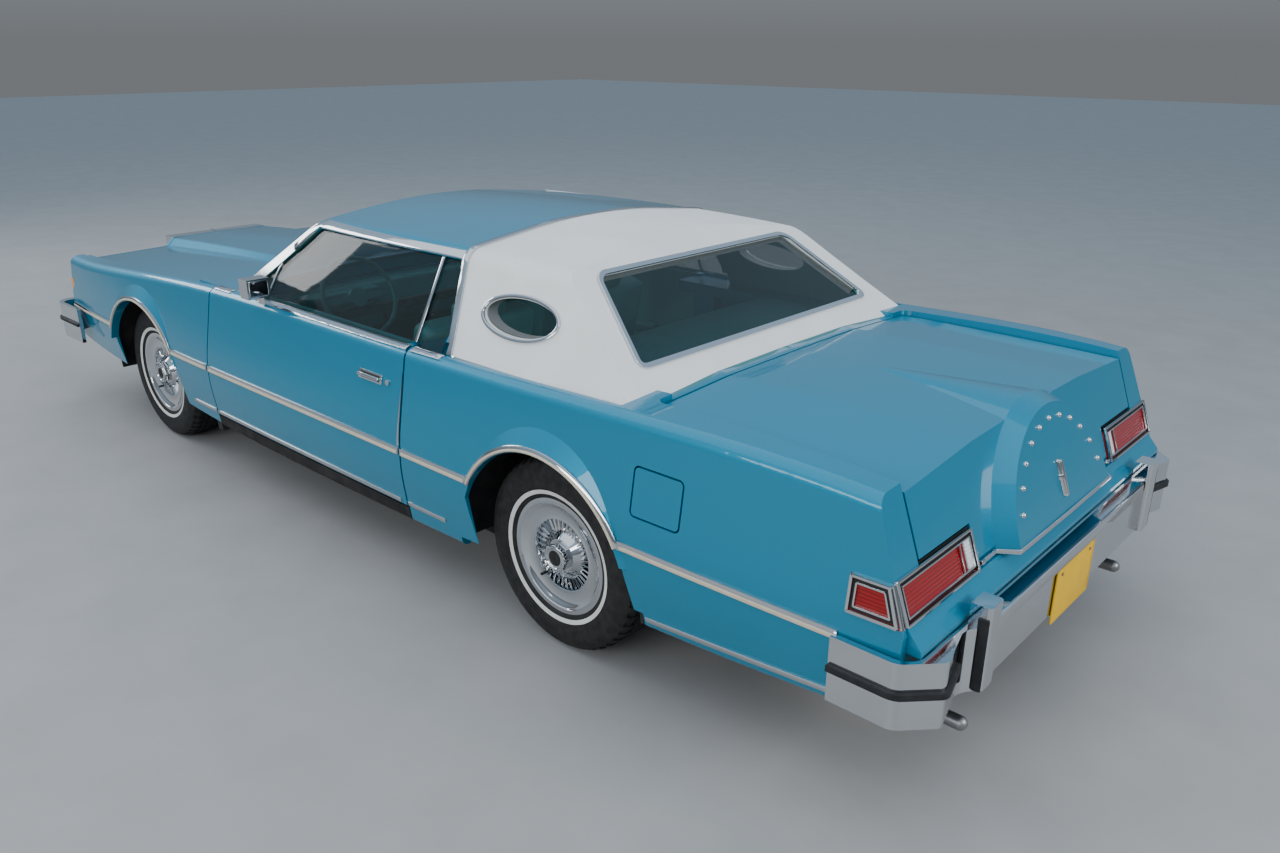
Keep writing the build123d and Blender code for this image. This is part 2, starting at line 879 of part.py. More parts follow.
def rear_bumper_bar():
    """The rear bar in plan: a straight middle, a step beside each guard and a swept corner point."""
    half = [
        (rear_bar_x, guard_outer_y - 6),
        (rear_bar_x - 30, guard_outer_y + 40),
        (rear_bar_x + 12, bumper_half - 96),
        (rear_bar_x - 80, bumper_half),
        (2470, bumper_half),
    ]
    points = [(x, -y) for x, y in reversed(half)] + half
    radii = [0, 50, 26, 60, 20, 20, 60, 26, 50, 0]
    outer = plan_prism(points, radii, bumper_low_z, bumper_high_z)
    inner_half = bumper_half - bumper_side_wall
    inner_x = rear_bar_x - rear_bar_wall
    inner = plan_prism(
        [(2400, -inner_half), (inner_x, -inner_half), (inner_x, inner_half), (2400, inner_half)],
        [0, 60, 60, 0],
        bumper_low_z - 10,
        bumper_high_z + 10,
    )
    return outer - inner


def make_rear_bumper():
    bar = rear_bumper_bar() + guards(-rear_end_x)
    mount = block(-rear_bar_x + 20, tail_low_x - seat_gap, 490, 550, 345, 430)
    return mirror(bar, about=Plane.YZ) + mount + right(mount)


def make_rear_panel():
    slab = behind_tail(-40) - behind_tail(1)
    slab = slab & block(-2800, -2500, -cabin_half, cabin_half, 442.3, lid_low_z - panel_gap)
    filler = side_prism(
        [
            (-2600, bumper_high_z + 1),
            (-2600, lamp_low_z - seat_gap),
            (tail_x - 4, lamp_low_z - seat_gap),
            (tail_x - 48, bumper_high_z + 18),
            (tail_x - 48, bumper_high_z + 1),
        ],
        [0] * 5,
        -930,
        930,
    )
    shape = slab + (filler & behind_tail(seat_gap))
    shape -= block(-2900, -2400, -lamp_inner_y, lamp_inner_y, hump_low_z - panel_gap, 1100)
    lamp = block(-2900, -2400, lamp_inner_y - seat_gap, 1000, lamp_low_z - seat_gap, lamp_high_z + 30)
    stop = block(-2800, -2500, 425, 455, hump_low_z - panel_gap - 1, hump_low_z - seat_gap)
    stop = stop & (behind_tail(-30) - behind_tail(-2))
    return shape - lamp - right(lamp) + stop + right(stop)


def make_tail_lamp():
    low = lamp_low_z + seat_gap
    high = lamp_high_z - seat_gap
    zone = block(-2900, lamp_front_x - seat_gap, lamp_inner_y, 1200, low, high)
    shape = (flank_outer & zone) + (block(-2720, -2500, lamp_inner_y, 760, low, high))
    shape -= behind_tail(0)
    return shape - (block(-2800, -2400, 0, 870, 0, 1200) - behind_tail(-50))


def make_headlamps():
    side = None
    for y in (430, 660):
        lamp = Pos(2655, y, cover_pivot_z) * Rot(0, 90, 0) * Cylinder(68, 60)
        side = lamp if side is None else side + lamp
    side += block(2512.3, 2630, 345, 765, cover_pivot_z - 34, cover_pivot_z + 34)
    side += disc(cover_pivot_x, 331, 779, cover_pivot_z, cover_pin_radius)
    lens = block(fender_tip_x - 39, fender_tip_x - 4, 846.3, 921.7, cover_low_z + 0.3, cover_high_z - 0.3)
    return Compound(children=[both(side), both(lens)])


def make_cover():
    shape = block(2723, 2735, 328, 782, cover_low_z, cover_high_z)
    bore = cover_pin_radius + bearing_clearance
    for y in (332, 772):
        arm = block(cover_pivot_x, 2724, y, y + 6, cover_pivot_z - 12, cover_pivot_z + 12)
        arm += disc(cover_pivot_x, y, y + 6, cover_pivot_z, 16)
        shape += arm - disc(cover_pivot_x, y - 1, y + 7, cover_pivot_z, bore)
    return shape


def make_engine():
    shape = block(1240, 1960, -150, 150, 300.3, 560)
    shape += block(1280, 1900, -290, 290, 480, 700) + block(1340, 1840, -130, 130, 660, 790)
    shape += Pos(1600, 0, 815) * Cylinder(190, 90)
    return shape


def make_radiator():
    shape = block(2440, 2500, -340, 340, 360, 780) + block(2500, 2512, -455, 455, 350.3, 770)
    return shape


def make_driveline():
    shape = block(660, 1239.7, -110, 110, 215, 390) + Pos(-260, 0, shaft_z) * Rot(0, 90, 0) * Cylinder(34, 1860)
    return shape


def make_rear_axle():
    x = rear_axle_x
    shape = disc(x, -680, 680, tyre_radius, 42) + Pos(x, 0, tyre_radius) * Sphere(128)
    shape += Pos(x + 110, 0, 320) * Rot(0, 90, 0) * Cylinder(52, 70)
    spindle = disc(x, 600, 790, tyre_radius, spindle_radius)
    arm = block(x + 20, -890, 430, 470, 300, 340) + block(x - 20, x + 60, 430, 470, 300, 360)
    spring = Pos(x, 520, 412) * Cylinder(55, 2 * (430 - seat_gap - 412))
    side = spindle + arm + spring
    return shape + side + right(side)


def make_front_suspension():
    x = front_axle_x
    lower = block(x - 45, x + 45, 440.3, 716, 215, 240)
    lower += Pos(x, kingpin_y, 252) * Cylinder(pin_radius, 30)
    upper = block(x - 40, x + 40, 372, 716, 470, 490) + block(x - 40, x + 40, 372, 432, 350.3, 490)
    upper += Pos(x, kingpin_y, 458) * Cylinder(pin_radius, 30)
    return Compound(children=[both(lower), both(upper)])


def make_knuckle():
    x = front_axle_x
    shape = Pos(x, kingpin_y, 355) * Cylinder(28, 220)
    shape += disc(x, kingpin_y, 790, tyre_radius, spindle_radius)
    shape += block(x - 120, x, kingpin_y - 14, kingpin_y + 14, 330, 352)
    bore = pin_radius + bearing_clearance
    shape -= Pos(x, kingpin_y, 257) * Cylinder(bore, 30) + Pos(x, kingpin_y, 453) * Cylinder(bore, 30)
    return shape


def make_tank():
    return block(-2340, -1820, -430, 430, 240, 430 - seat_gap)


def make_exhaust():
    path = [(1230, 210), (900, 300), (-800, 300), (-1050, 425), (-1700, 425), (-1880, 625), (-2700, 625)]
    shape = None
    for (x0, y0), (x1, y1) in zip(path, path[1:]):
        pipe = tube_between((x0, y0, 211), (x1, y1, 211), 22)
        shape = pipe if shape is None else shape + pipe
        shape += Pos(x1, y1, 211) * Sphere(22)
    shape += block(-2420, -1980, 568, 688, 175, 300)
    for x in (600, -500):
        shape += block(x - 12, x + 12, 296, 304, 215, floor_low_z - seat_gap)
    return both(shape)


# Cabin


def make_front_seats():
    side = block(-70, 380, 190, 590, floor_low_z + 20.3, 370)
    side += block(-130, 430, 60, 660, 362, 480)
    back = side_prism([(-60, 460), (-200, 470), (-330, 1000), (-200, 1000)], [0, 20, 40, 40], 60, 660)
    return both(side + back)


def make_rear_seat():
    shape = block(-879, -590, -640, 640, 358.3, 480)
    points = [(-820, 470), (-879, 470), (-879, 520.3), (-1062, 520.3), (-1094, 900), (-1012, 900)]
    return shape + side_prism(points, [0, 0, 0, 0, 20, 40], -640, 640)


def make_dashboard():
    top = cowl_low_z - seat_gap
    shape = side_prism(
        [(790, 640), (760, 760), (800, top), (960, top), (960, 700), (900, 620)],
        [20, 30, 30, 0, 0, 40],
        -784,
        784,
    )
    shape += tube_between(column_point(46 + seat_gap), column_point(420), 30)
    return shape


def column_point(distance):
    """A point on the steering column, this far below the wheel's centre."""
    run = cos_of(column_angle)
    fall = sin(radians(column_angle))
    return (wheel_centre_x + run * distance, driver_y, wheel_centre_z - fall * distance)


def make_steering_wheel():
    normal = Vector(cos_of(column_angle), 0, -sin(radians(column_angle)))
    plane = Plane(origin=column_point(0), x_dir=(0, 1, 0), z_dir=normal)
    rim = plane * Torus(192, 11)
    hub = plane * Pos(0, 0, 26) * Cylinder(46, 40)
    spokes = plane * Pos(0, 0, 14) * Box(384, 34, 14)
    return rim + spokes + hub


# Wheels


def make_wheel():
    """Wheel with its finned cover, centred on the origin, outer side towards +Y."""
    profile = make_face(
        Polyline(
            (0, -60),
            (62, -60),
            (62, 22),
            (188, 34),
            (188, -98),
            (214, -98),
            (214, -90),
            (203, -90),
            (203, 90),
            (214, 90),
            (214, 98),
            (196, 98),
            (172, 66),
            (86, 58),
            (60, 84),
            (0, 84),
            close=True,
        )
    )
    shape = revolve(profile, Axis.Y)
    fins = []
    for i in range(fin_count):
        blade = Pos(129, 67, 0) * Rot(24, 0, 0) * Box(74, 22, 5)
        fins.append(Rot(0, 360 / fin_count * i, 0) * blade)
    shape = shape.fuse(*fins)
    shape -= Pos(0, -20, 0) * Rot(90, 0, 0) * Cylinder(spindle_radius + bearing_clearance, 100)
    return shape


def make_tyre():
    half = tyre_width / 2
    bead = 90 - seat_gap
    points = [(rim_radius + seat_gap, -bead), (rim_radius + 13, -bead), (rim_radius + 36, -half + 1)]
    points += [(290, -half), (tyre_radius, -92)]
    points += [(x, -y) for x, y in reversed(points)]
    profile = outline([(x, y, 0) for x, y in points], [0, 0, 10, 60, 16, 16, 60, 10, 0, 0])
    return revolve(profile, Axis.Y)


def place(shape, axle_x, side):
    shape = shape if side > 0 else mirror(shape, about=Plane.XZ)
    return Pos(axle_x, side * half_track, tyre_radius) * shape


fender = make_fender()
door = make_door()
quarter = make_quarter()
fuel_door = (flank_outer - flank(filler_wall, 0, 400)) & fuel_outline(0, 800, 1200)
filler_stop = disc(fuel_x - 70, 910, 1000, fuel_z, 8) & flank(filler_wall + seat_gap, 0, 400)
quarter_open = quarter - fuel_outline(6, 915, 1200) + filler_stop
sheet = glass_sheet()
door_window = side_window_prism(-6) & block(divider_x + 4, 2000, 400, 1100, 900, 1400)
quarter_window = side_window_prism(-seat_gap) & block(-2000, divider_x - 4, 400, 1100, 900, 1400)
door_glass = sheet & (door_window + block(door_rear_x + 76, pillar_foot_x - 16, 400, 1100, 930, glass_low_z + 7))
quarter_foot = block(split_x(belt_z) + 80, divider_x - 4, 400, 1100, belt_z, 1000)
quarter_glass = sheet & (quarter_window + quarter_foot)
opera_glass = (greenhouse(6) - greenhouse(12)) & opera_prism(-seat_gap) & block(-1400, -800, 0, 1100, 900, 1400)
mirror_left = block(448, 504, 902, 930, 944, 985) + block(440, 510, 900, 1004, 980, 1064)
mirror_left -= flank_outer
knuckle = make_knuckle()
wheel = make_wheel()
tyre = make_tyre()
cover = make_cover()
lamp = make_tail_lamp()

pieces = {
    "frame_rails": make_frame(),
    "floor_pan": make_floor(),
    "front_aprons": make_front_aprons(),
    "rear_wheelhouses": make_rear_housings(),
    "engine": make_engine(),
    "radiator": make_radiator(),
    "driveline": make_driveline(),
    "exhaust": make_exhaust(),
    "fuel_tank": make_tank(),
    "front_suspension": make_front_suspension(),
    "rear_axle": make_rear_axle(),
    "fender_left": fender,
    "fender_right": right(fender),
    "nose_panel": make_nose(),
    "grille": make_grille(),
    "front_bumper": make_front_bumper(),
    "cowl": make_cowl(),
    "roof": make_roof(),
    "landau_roof": make_landau(),
    "windshield": glass_sheet() & screen_prism(-seat_gap, screen_depth, 60),
    "rear_window": glass_sheet() & backlight_prism(-seat_gap, 80, 90),
    "side_glass": Compound(children=[both(quarter_glass), both(opera_glass)]),
    "quarter_left": quarter_open,
    "quarter_right": right(quarter),
    "rear_shelf": make_shelf(),
    "rear_panel": make_rear_panel(),
    "rear_bumper": make_rear_bumper(),
    "tail_lamps": both(lamp),
    "headlamps": make_headlamps(),
    "front_seats": make_front_seats(),
    "rear_seat": make_rear_seat(),
    "dashboard": make_dashboard(),
    "door_left": door,
    "door_right": right(door),
    "door_glass_left": door_glass,
    "door_glass_right": right(door_glass),
    "mirror_left": mirror_left,
    "mirror_right": right(mirror_left),
    "hood": make_hood(),
    "trunk_lid": make_lid(),
    "filler_door": fuel_door,
    "headlamp_cover_left": cover,
    "headlamp_cover_right": right(cover),
    "steering_wheel": make_steering_wheel(),
    "knuckle_left": knuckle,
    "knuckle_right": right(knuckle),
    "wheel_front_left": place(wheel, front_axle_x, 1),
    "wheel_front_right": place(wheel, front_axle_x, -1),
    "wheel_rear_left": place(wheel, rear_axle_x, 1),
    "wheel_rear_right": place(wheel, rear_axle_x, -1),
    "tyre_front_left": place(tyre, front_axle_x, 1),
    "tyre_front_right": place(tyre, front_axle_x, -1),
    "tyre_rear_left": place(tyre, rear_axle_x, 1),
    "tyre_rear_right": place(tyre, rear_axle_x, -1),
}

os.makedirs("parts", exist_ok=True)
for name, shape in pieces.items():
    export_step(Pos(-middle_x, 0, 0) * shape, "parts/" + name + ".step")
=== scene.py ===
import bpy, json, math, random
from mathutils import Vector, Matrix

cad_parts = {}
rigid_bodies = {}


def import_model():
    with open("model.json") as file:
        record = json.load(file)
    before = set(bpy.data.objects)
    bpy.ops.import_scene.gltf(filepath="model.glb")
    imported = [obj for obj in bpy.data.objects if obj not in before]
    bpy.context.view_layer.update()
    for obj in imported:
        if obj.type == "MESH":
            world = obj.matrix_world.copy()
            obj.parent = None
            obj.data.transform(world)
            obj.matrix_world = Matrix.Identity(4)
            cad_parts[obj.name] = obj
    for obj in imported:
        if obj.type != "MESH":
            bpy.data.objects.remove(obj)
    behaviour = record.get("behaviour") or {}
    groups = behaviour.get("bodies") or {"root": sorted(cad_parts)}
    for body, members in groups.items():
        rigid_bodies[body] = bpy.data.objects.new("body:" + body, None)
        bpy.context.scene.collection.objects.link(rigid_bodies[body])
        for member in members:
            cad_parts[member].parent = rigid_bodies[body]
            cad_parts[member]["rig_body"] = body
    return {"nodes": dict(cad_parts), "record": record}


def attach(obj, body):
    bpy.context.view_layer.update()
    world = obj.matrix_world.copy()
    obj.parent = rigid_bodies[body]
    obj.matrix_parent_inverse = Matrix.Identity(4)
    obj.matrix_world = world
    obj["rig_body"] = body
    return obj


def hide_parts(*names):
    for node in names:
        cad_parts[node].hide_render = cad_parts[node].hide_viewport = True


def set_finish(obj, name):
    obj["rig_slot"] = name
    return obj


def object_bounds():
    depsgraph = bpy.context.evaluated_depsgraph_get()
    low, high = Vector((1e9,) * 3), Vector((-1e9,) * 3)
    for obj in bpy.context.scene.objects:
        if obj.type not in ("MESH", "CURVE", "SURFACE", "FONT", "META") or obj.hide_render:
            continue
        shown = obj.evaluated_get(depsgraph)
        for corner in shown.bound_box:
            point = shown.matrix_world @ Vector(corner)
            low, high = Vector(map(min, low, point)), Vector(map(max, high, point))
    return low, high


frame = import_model()
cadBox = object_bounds()
nodes = frame["nodes"]
random.seed(7)
print("frame loaded, shaping the coupe's trim")

datumX = 0.075  # the car's drawing starts this far behind its middle
frontAxle, rearAxle, hubHeight, halfTrack = 1.646, -1.412, 0.355, 0.8
sides = ((1, "left"), (-1, "right"))


def mm(x, y, z):  # a point of the drawing, in millimetres
    return Vector((x / 1000 - datumX, y / 1000, z / 1000))


# helpers for selecting, finishing and hanging pieces

def deselectAll():
    if bpy.context.object and bpy.context.object.mode != "OBJECT":
        bpy.ops.object.mode_set(mode="OBJECT")
    bpy.ops.object.select_all(action="DESELECT")


def activate(piece):
    deselectAll()
    piece.select_set(True)
    bpy.context.view_layer.objects.active = piece


def edit(piece, domain="FACE", action="SELECT"):
    activate(piece)
    bpy.ops.object.mode_set(mode="EDIT")
    bpy.ops.mesh.select_mode(type=domain)
    bpy.ops.mesh.select_all(action=action)


def leaveEdit():
    bpy.ops.object.mode_set(mode="OBJECT")


def made(name, add, **values):  # one of Blender's own shapes, named
    deselectAll()
    add(**values)
    piece = bpy.context.object
    piece.name = name
    piece.data.name = name
    return piece


def settle(piece):
    activate(piece)
    bpy.ops.object.transform_apply(location=True, rotation=True, scale=True)
    return piece


def applyAll(piece):
    activate(piece)
    for modifier in list(piece.modifiers):
        bpy.ops.object.modifier_apply(modifier=modifier.name)


def thicken(piece, depth, offset=1.0, even=True):
    wall = piece.modifiers.new("wall", "SOLIDIFY")
    wall.thickness = depth
    wall.offset = offset
    wall.use_even_offset = even


def soften(piece, width, segments=2):
    edge = piece.modifiers.new("edge", "BEVEL")
    edge.width = width
    edge.segments = segments
    edge.limit_method = "ANGLE"
    edge.angle_limit = math.radians(40)


def smooth(piece, angle=38):
    activate(piece)
    bpy.ops.object.shade_smooth_by_angle(angle=math.radians(angle))


def choose(piece, domain, test):  # opens the piece with the faces or points that answer the test
    edit(piece, domain, "DESELECT")
    leaveEdit()
    for part in piece.data.polygons if domain == "FACE" else piece.data.vertices:
        part.select = test(part)
    bpy.ops.object.mode_set(mode="EDIT")


def drop(piece, domain, test):
    choose(piece, domain, test)
    bpy.ops.mesh.delete(type=domain)
    leaveEdit()


def coated(piece, material, angle=38, slotName=None):  # smooth, coloured and in its slot
    smooth(piece, angle)
    if material:
        piece.data.materials.clear()
        piece.data.materials.append(material)
    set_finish(piece, slotName or slotFor[piece.data.materials[0].name])
    return piece


def finishPiece(piece, body, material, angle=38, slotName=None):
    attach(piece, body)
    return coated(piece, material, angle, slotName)


def walled(piece, away, depth, edge, body, material, even=True):  # wall, edge and finish for a sheet
    if away:
        outwards(piece, Vector(away))
    thicken(piece, depth, even=even)
    if edge:
        soften(piece, edge)
    applyAll(piece)
    return finishPiece(piece, body, material)


def copied(piece, name, body, move):
    twin = bpy.data.objects.new(name, piece.data.copy())
    bpy.context.scene.collection.objects.link(twin)
    twin.data.transform(move)
    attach(twin, body)
    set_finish(twin, piece["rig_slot"])
    return twin


def mirrored(piece):  # the same piece on the car's right side
    name = piece.name.replace("_left", "_right")
    body = piece["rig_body"].replace("_left", "_right")
    twin = copied(piece, name, body, Matrix.Scale(-1, 4, Vector((0, 1, 0))))
    twin.data.flip_normals()
    return twin


def keepSpan(axis, low=None, high=None):  # cuts that keep what lies between two places along an axis
    way = Vector([float(axis == letter) for letter in "xyz"])
    cuts = []
    if high is not None:
        cuts.append((way * high, way))
    if low is not None:
        cuts.append((way * low, -way))
    return cuts


def skinStrip(name, nodeName, cuts, keep, depth, edge, body, material):  # a strip taken from a solid's skin
    piece = bpy.data.objects.new(name, nodes[nodeName].data.copy())
    bpy.context.scene.collection.objects.link(piece)
    edit(piece, "VERT")
    bpy.ops.mesh.customdata_custom_splitnormals_clear()
    bpy.ops.mesh.remove_doubles(threshold=0.00003)
    for point, normal in cuts:
        bpy.ops.mesh.select_all(action="SELECT")
        bpy.ops.mesh.bisect(plane_co=point, plane_no=normal, clear_outer=True)
    leaveEdit()
    drop(piece, "FACE", lambda face: not keep(face.center, face.normal))
    return walled(piece, None, depth, edge, body, material, False)


# materials

def newMaterial(name, colour, **values):
    material = bpy.data.materials.new(name)
    material.use_nodes = True
    shader = material.node_tree.nodes["Principled BSDF"]
    shader.inputs["Base Color"].default_value = (*colour, 1)
    for key, value in values.items():
        shader.inputs[key.replace("_", " ")].default_value = value
    return material


def textured(material, kind, output, **values):  # a texture in the piece's own coordinates
    tree = material.node_tree
    texture = tree.nodes.new("ShaderNodeTex" + kind)
    for key, value in values.items():
        texture.inputs[key].default_value = value
    coordinates = tree.nodes.new("ShaderNodeTexCoord")
    tree.links.new(coordinates.outputs["Object"], texture.inputs["Vector"])
    return texture.outputs[output]


def noiseOf(material, scale, detail=3):
    return textured(material, "Noise", "Fac", Scale=scale, Detail=detail)


def cellsOf(material, scale):
    return textured(material, "Voronoi", "Distance", Scale=scale)


def bandsOf(material, scale, axis):
    bands = textured(material, "Wave", "Fac", Scale=scale)
    bands.node.bands_direction = axis
    return bands


def rampOf(tree, first, second, low, high):
    ramp = tree.nodes.new("ShaderNodeValToRGB")
    for stop, place, colour in zip(ramp.color_ramp.elements, (low, high), (first, second)):
        stop.position = place
        stop.color = (*colour, 1)
    return ramp


def tintBetween(material, source, first, second, low=0.35, high=0.65):
    tree = material.node_tree
    ramp = rampOf(tree, first, second, low, high)
    tree.links.new(source, ramp.inputs["Fac"])
    shader = tree.nodes["Principled BSDF"]
    tree.links.new(ramp.outputs["Color"], shader.inputs["Base Color"])


def ranged(material, source, low, high, target="Roughness"):
    tree = material.node_tree
    span = tree.nodes.new("ShaderNodeMapRange")
    span.inputs["To Min"].default_value = low
    span.inputs["To Max"].default_value = high
    tree.links.new(source, span.inputs["Value"])
    tree.links.new(span.outputs["Result"], tree.nodes["Principled BSDF"].inputs[target])


def embossed(material, source, distance, strength=0.5):
    tree = material.node_tree
    shader = tree.nodes["Principled BSDF"]
    bump = tree.nodes.new("ShaderNodeBump")
    bump.inputs["Distance"].default_value = distance
    bump.inputs["Strength"].default_value = strength
    if shader.inputs["Normal"].links:
        tree.links.new(shader.inputs["Normal"].links[0].from_socket, bump.inputs["Normal"])
    tree.links.new(source, bump.inputs["Height"])
    tree.links.new(bump.outputs["Normal"], shader.inputs["Normal"])


def makePaint():
    paint = newMaterial("turquoisePaint", (0.0, 0.23, 0.37), Metallic=0.35, Roughness=0.4,
                        Specular_IOR_Level=0.1, Coat_Weight=0.9, Coat_Roughness=0.03)
    tintBetween(paint, noiseOf(paint, 2600, 1), (0.0, 0.205, 0.335), (0.001, 0.255, 0.405))
    ranged(paint, noiseOf(paint, 3, 4), 0.36, 0.44)
    embossed(paint, noiseOf(paint, 240, 2), 0.0002, 0.08)
    return paint


def makeVinyl():
    vinyl = newMaterial("whiteVinyl", (0.88, 0.875, 0.84), Roughness=0.5, Sheen_Weight=0.1)
    tintBetween(vinyl, noiseOf(vinyl, 5, 5), (0.84, 0.835, 0.80), (0.91, 0.905, 0.88), 0.3, 0.7)
    ranged(vinyl, noiseOf(vinyl, 60, 3), 0.42, 0.6)
    embossed(vinyl, cellsOf(vinyl, 230), 0.0012, 0.55)
    embossed(vinyl, noiseOf(vinyl, 90, 4), 0.001, 0.35)
    return vinyl


def makeGlass():
    glass = newMaterial("tintedGlass", (0.012, 0.022, 0.019), Roughness=0.015, IOR=1.52,
                        Coat_Weight=0.4, Coat_Roughness=0.01)
    facing = glass.node_tree.nodes.new("ShaderNodeLayerWeight")
    facing.inputs["Blend"].default_value = 0.35
    ranged(glass, facing.outputs["Facing"], 0.14, 0.8, "Alpha")
    embossed(glass, noiseOf(glass, 3, 1), 0.002, 0.03)
    return glass


def makeChrome(name="brightChrome", colour=(0.63, 0.64, 0.65), low=0.03, high=0.09):
    chrome = newMaterial(name, colour, Metallic=1.0, Roughness=0.05)
    ranged(chrome, noiseOf(chrome, 14, 5), low, high)
    embossed(chrome, noiseOf(chrome, 30, 2), 0.0006, 0.05)
    return chrome


def makeRough(name, colour, second, roughness, grain, depth=0.0006, metallic=0.0):
    material = newMaterial(name, colour, Roughness=roughness, Metallic=metallic, Specular_IOR_Level=0.25)
    tintBetween(material, noiseOf(material, grain / 20, 5), colour, second, 0.3, 0.72)
    low, high = max(0.04, roughness - 0.1), min(1, roughness + 0.1)
    ranged(material, noiseOf(material, grain / 8, 4), low, high)
    embossed(material, noiseOf(material, grain, 4), depth, 0.5)
    return material


def makeLeather(name, colour, second):
    leather = newMaterial(name, colour, Roughness=0.45, Coat_Weight=0.1, Coat_Roughness=0.3)
    tintBetween(leather, noiseOf(leather, 9, 5), colour, second, 0.3, 0.7)
    ranged(leather, noiseOf(leather, 40, 3), 0.36, 0.52)
    embossed(leather, cellsOf(leather, 420), 0.0008, 0.5)
    embossed(leather, noiseOf(leather, 30, 3), 0.002, 0.25)
    return leather


def makeLens(name, colour, second):
    lens = newMaterial(name, colour, Roughness=0.08, Specular_IOR_Level=0.15, IOR=1.49,
                       Coat_Weight=0.8, Coat_Roughness=0.02)
    tintBetween(lens, bandsOf(lens, 30, "Z"), colour, second, 0.2, 0.8)
    embossed(lens, bandsOf(lens, 34, "Z"), 0.0012, 0.5)
    embossed(lens, bandsOf(lens, 34, "Y"), 0.0010, 0.35)
    return lens


paint = makePaint()
vinyl = makeVinyl()
glass = makeGlass()
chrome = makeChrome()
satinChrome = makeChrome("satinChrome", (0.52, 0.53, 0.54), 0.16, 0.3)
tyreRubber = makeRough("tyreRubber", (0.012, 0.012, 0.013), (0.03, 0.029, 0.028), 0.62, 700, 0.0005)
whiteBand = makeRough("whiteBand", (0.78, 0.77, 0.73), (0.66, 0.64, 0.59), 0.5, 500, 0.0003)
trimRubber = makeRough("trimRubber", (0.015, 0.015, 0.016), (0.028, 0.028, 0.028), 0.55, 900, 0.0003)
underbody = makeRough("underbodyBlack", (0.012, 0.012, 0.013), (0.035, 0.032, 0.03), 0.7, 260, 0.001)
castMetal = makeRough("castMetal", (0.06, 0.062, 0.065), (0.12, 0.115, 0.11), 0.6, 500, 0.0008, 0.6)
steel = makeRough("dullSteel", (0.26, 0.26, 0.27), (0.36, 0.34, 0.32), 0.42, 320, 0.0004, 1.0)
upholstery = makeLeather("tealUpholstery", (0.03, 0.26, 0.28), (0.045, 0.33, 0.35))
interior = makeRough("tealPlastic", (0.02, 0.17, 0.19), (0.03, 0.21, 0.23), 0.45, 800, 0.0004)
headlining = makeRough("headliningCloth", (0.05, 0.26, 0.28), (0.06, 0.3, 0.32), 0.85, 900, 0.0006)
carpet = makeRough("tealCarpet", (0.012, 0.10, 0.115), (0.03, 0.17, 0.19), 0.95, 1500, 0.003)
creamInsert = makeRough("creamInsert", (0.60, 0.52, 0.38), (0.66, 0.59, 0.45), 0.5, 900, 0.0003)
redLens = makeLens("redLens", (0.22, 0.0, 0.001), (0.36, 0.001, 0.002))
clearLens = makeLens("clearLens", (0.72, 0.74, 0.75), (0.86, 0.88, 0.88))
amberLens = makeLens("amberLens", (0.85, 0.28, 0.02), (0.95, 0.4, 0.05))
plateYellow = makeRough("plateYellow", (0.82, 0.46, 0.004), (0.88, 0.52, 0.01), 0.4, 500, 0.0003)
darkMirror = makeChrome("darkMirror", (0.10, 0.11, 0.12), 0.02, 0.05)
grilleBlack = makeRough("recessBlack", (0.006, 0.006, 0.007), (0.014, 0.014, 0.014), 0.6, 500, 0.0004)
print("materials made")

finishes = {  # the record's slots and their materials, the solids' own one first
    "paint": (paint,), "vinyl": (vinyl,), "glass": (glass, darkMirror), "chrome": (chrome, satinChrome),
    "tyre": (tyreRubber,), "rubber": (trimRubber,), "underbody": (underbody,), "cast_metal": (castMetal,),
    "steel": (steel,), "red_lens": (redLens,), "clear_lens": (clearLens,), "upholstery": (upholstery,),
    "interior": (interior,), "carpet": (carpet,), "trim_insert": (creamInsert, plateYellow),
}
slotFor = {material.name: slot for slot, materials in finishes.items() for material in materials}
slotOf = {part["node"]: part["material_slot"] for part in frame["record"]["subparts"]}
for nodeName, node in nodes.items():
    node.data.materials.clear()
    node.data.materials.append(finishes[slotOf[nodeName]][0])


def alsoMaterial(nodeName, material, test):  # gives some faces of a solid a second finish
    mesh = nodes[nodeName].data
    mesh.materials.append(material)
    place = len(mesh.materials) - 1
    for face in mesh.polygons:
        if test(face.center, face.normal):
            face.material_index = place


def insideCabin(centre, normal):  # a face that looks towards the middle of the cabin
    middle = Vector((-0.35, 0, 0.78))
    return (middle - centre).normalized().dot(normal) > 0.35


for nodeName in ("roof", "landau_roof"):
    alsoMaterial(nodeName, headlining, insideCabin)
for nodeName in ("door_left", "door_right"):
    alsoMaterial(nodeName, upholstery, lambda c, n: abs(c.y) < 0.84 and abs(n.y) > 0.8)
alsoMaterial("floor_pan", carpet,
             lambda c, n: n.z > 0.5 and c.z < 0.45 and -0.96 < c.x < 1.08 and abs(c.y) < 0.702)
alsoMaterial("rear_shelf", interior, lambda c, n: c.x > -1.72)
for nodeName in ("rear_shelf", "floor_pan"):
    alsoMaterial(nodeName, interior, lambda c, n: -1.2 < c.x < -0.9 and n.x > 0.7 and c.z > 0.5)
alsoMaterial("roof", chrome,  # the windscreen pillars' outer faces
             lambda c, n: c.x > 0.28 and abs(c.y) > 0.6 and 0.945 < c.z < 1.285 and n.y * c.y > 0.35)
alsoMaterial("headlamps", amberLens, lambda c, n: abs(c.y) > 0.84)
alsoMaterial("grille", grilleBlack, lambda c, n: c.x < 2.7 and n.x > 0.5)
alsoMaterial("cowl", trimRubber, lambda c, n: n.z > 0.6 and c.x > 0.86 and abs(c.y) < 0.7 and c.z < 0.9)


# camera, light and floor

camera = {"place": (-3.7021, 3.0075, 2.0162), "yaw": -47.825, "pitch": -20.822, "roll": 0.229,
          "lens": 28.443}


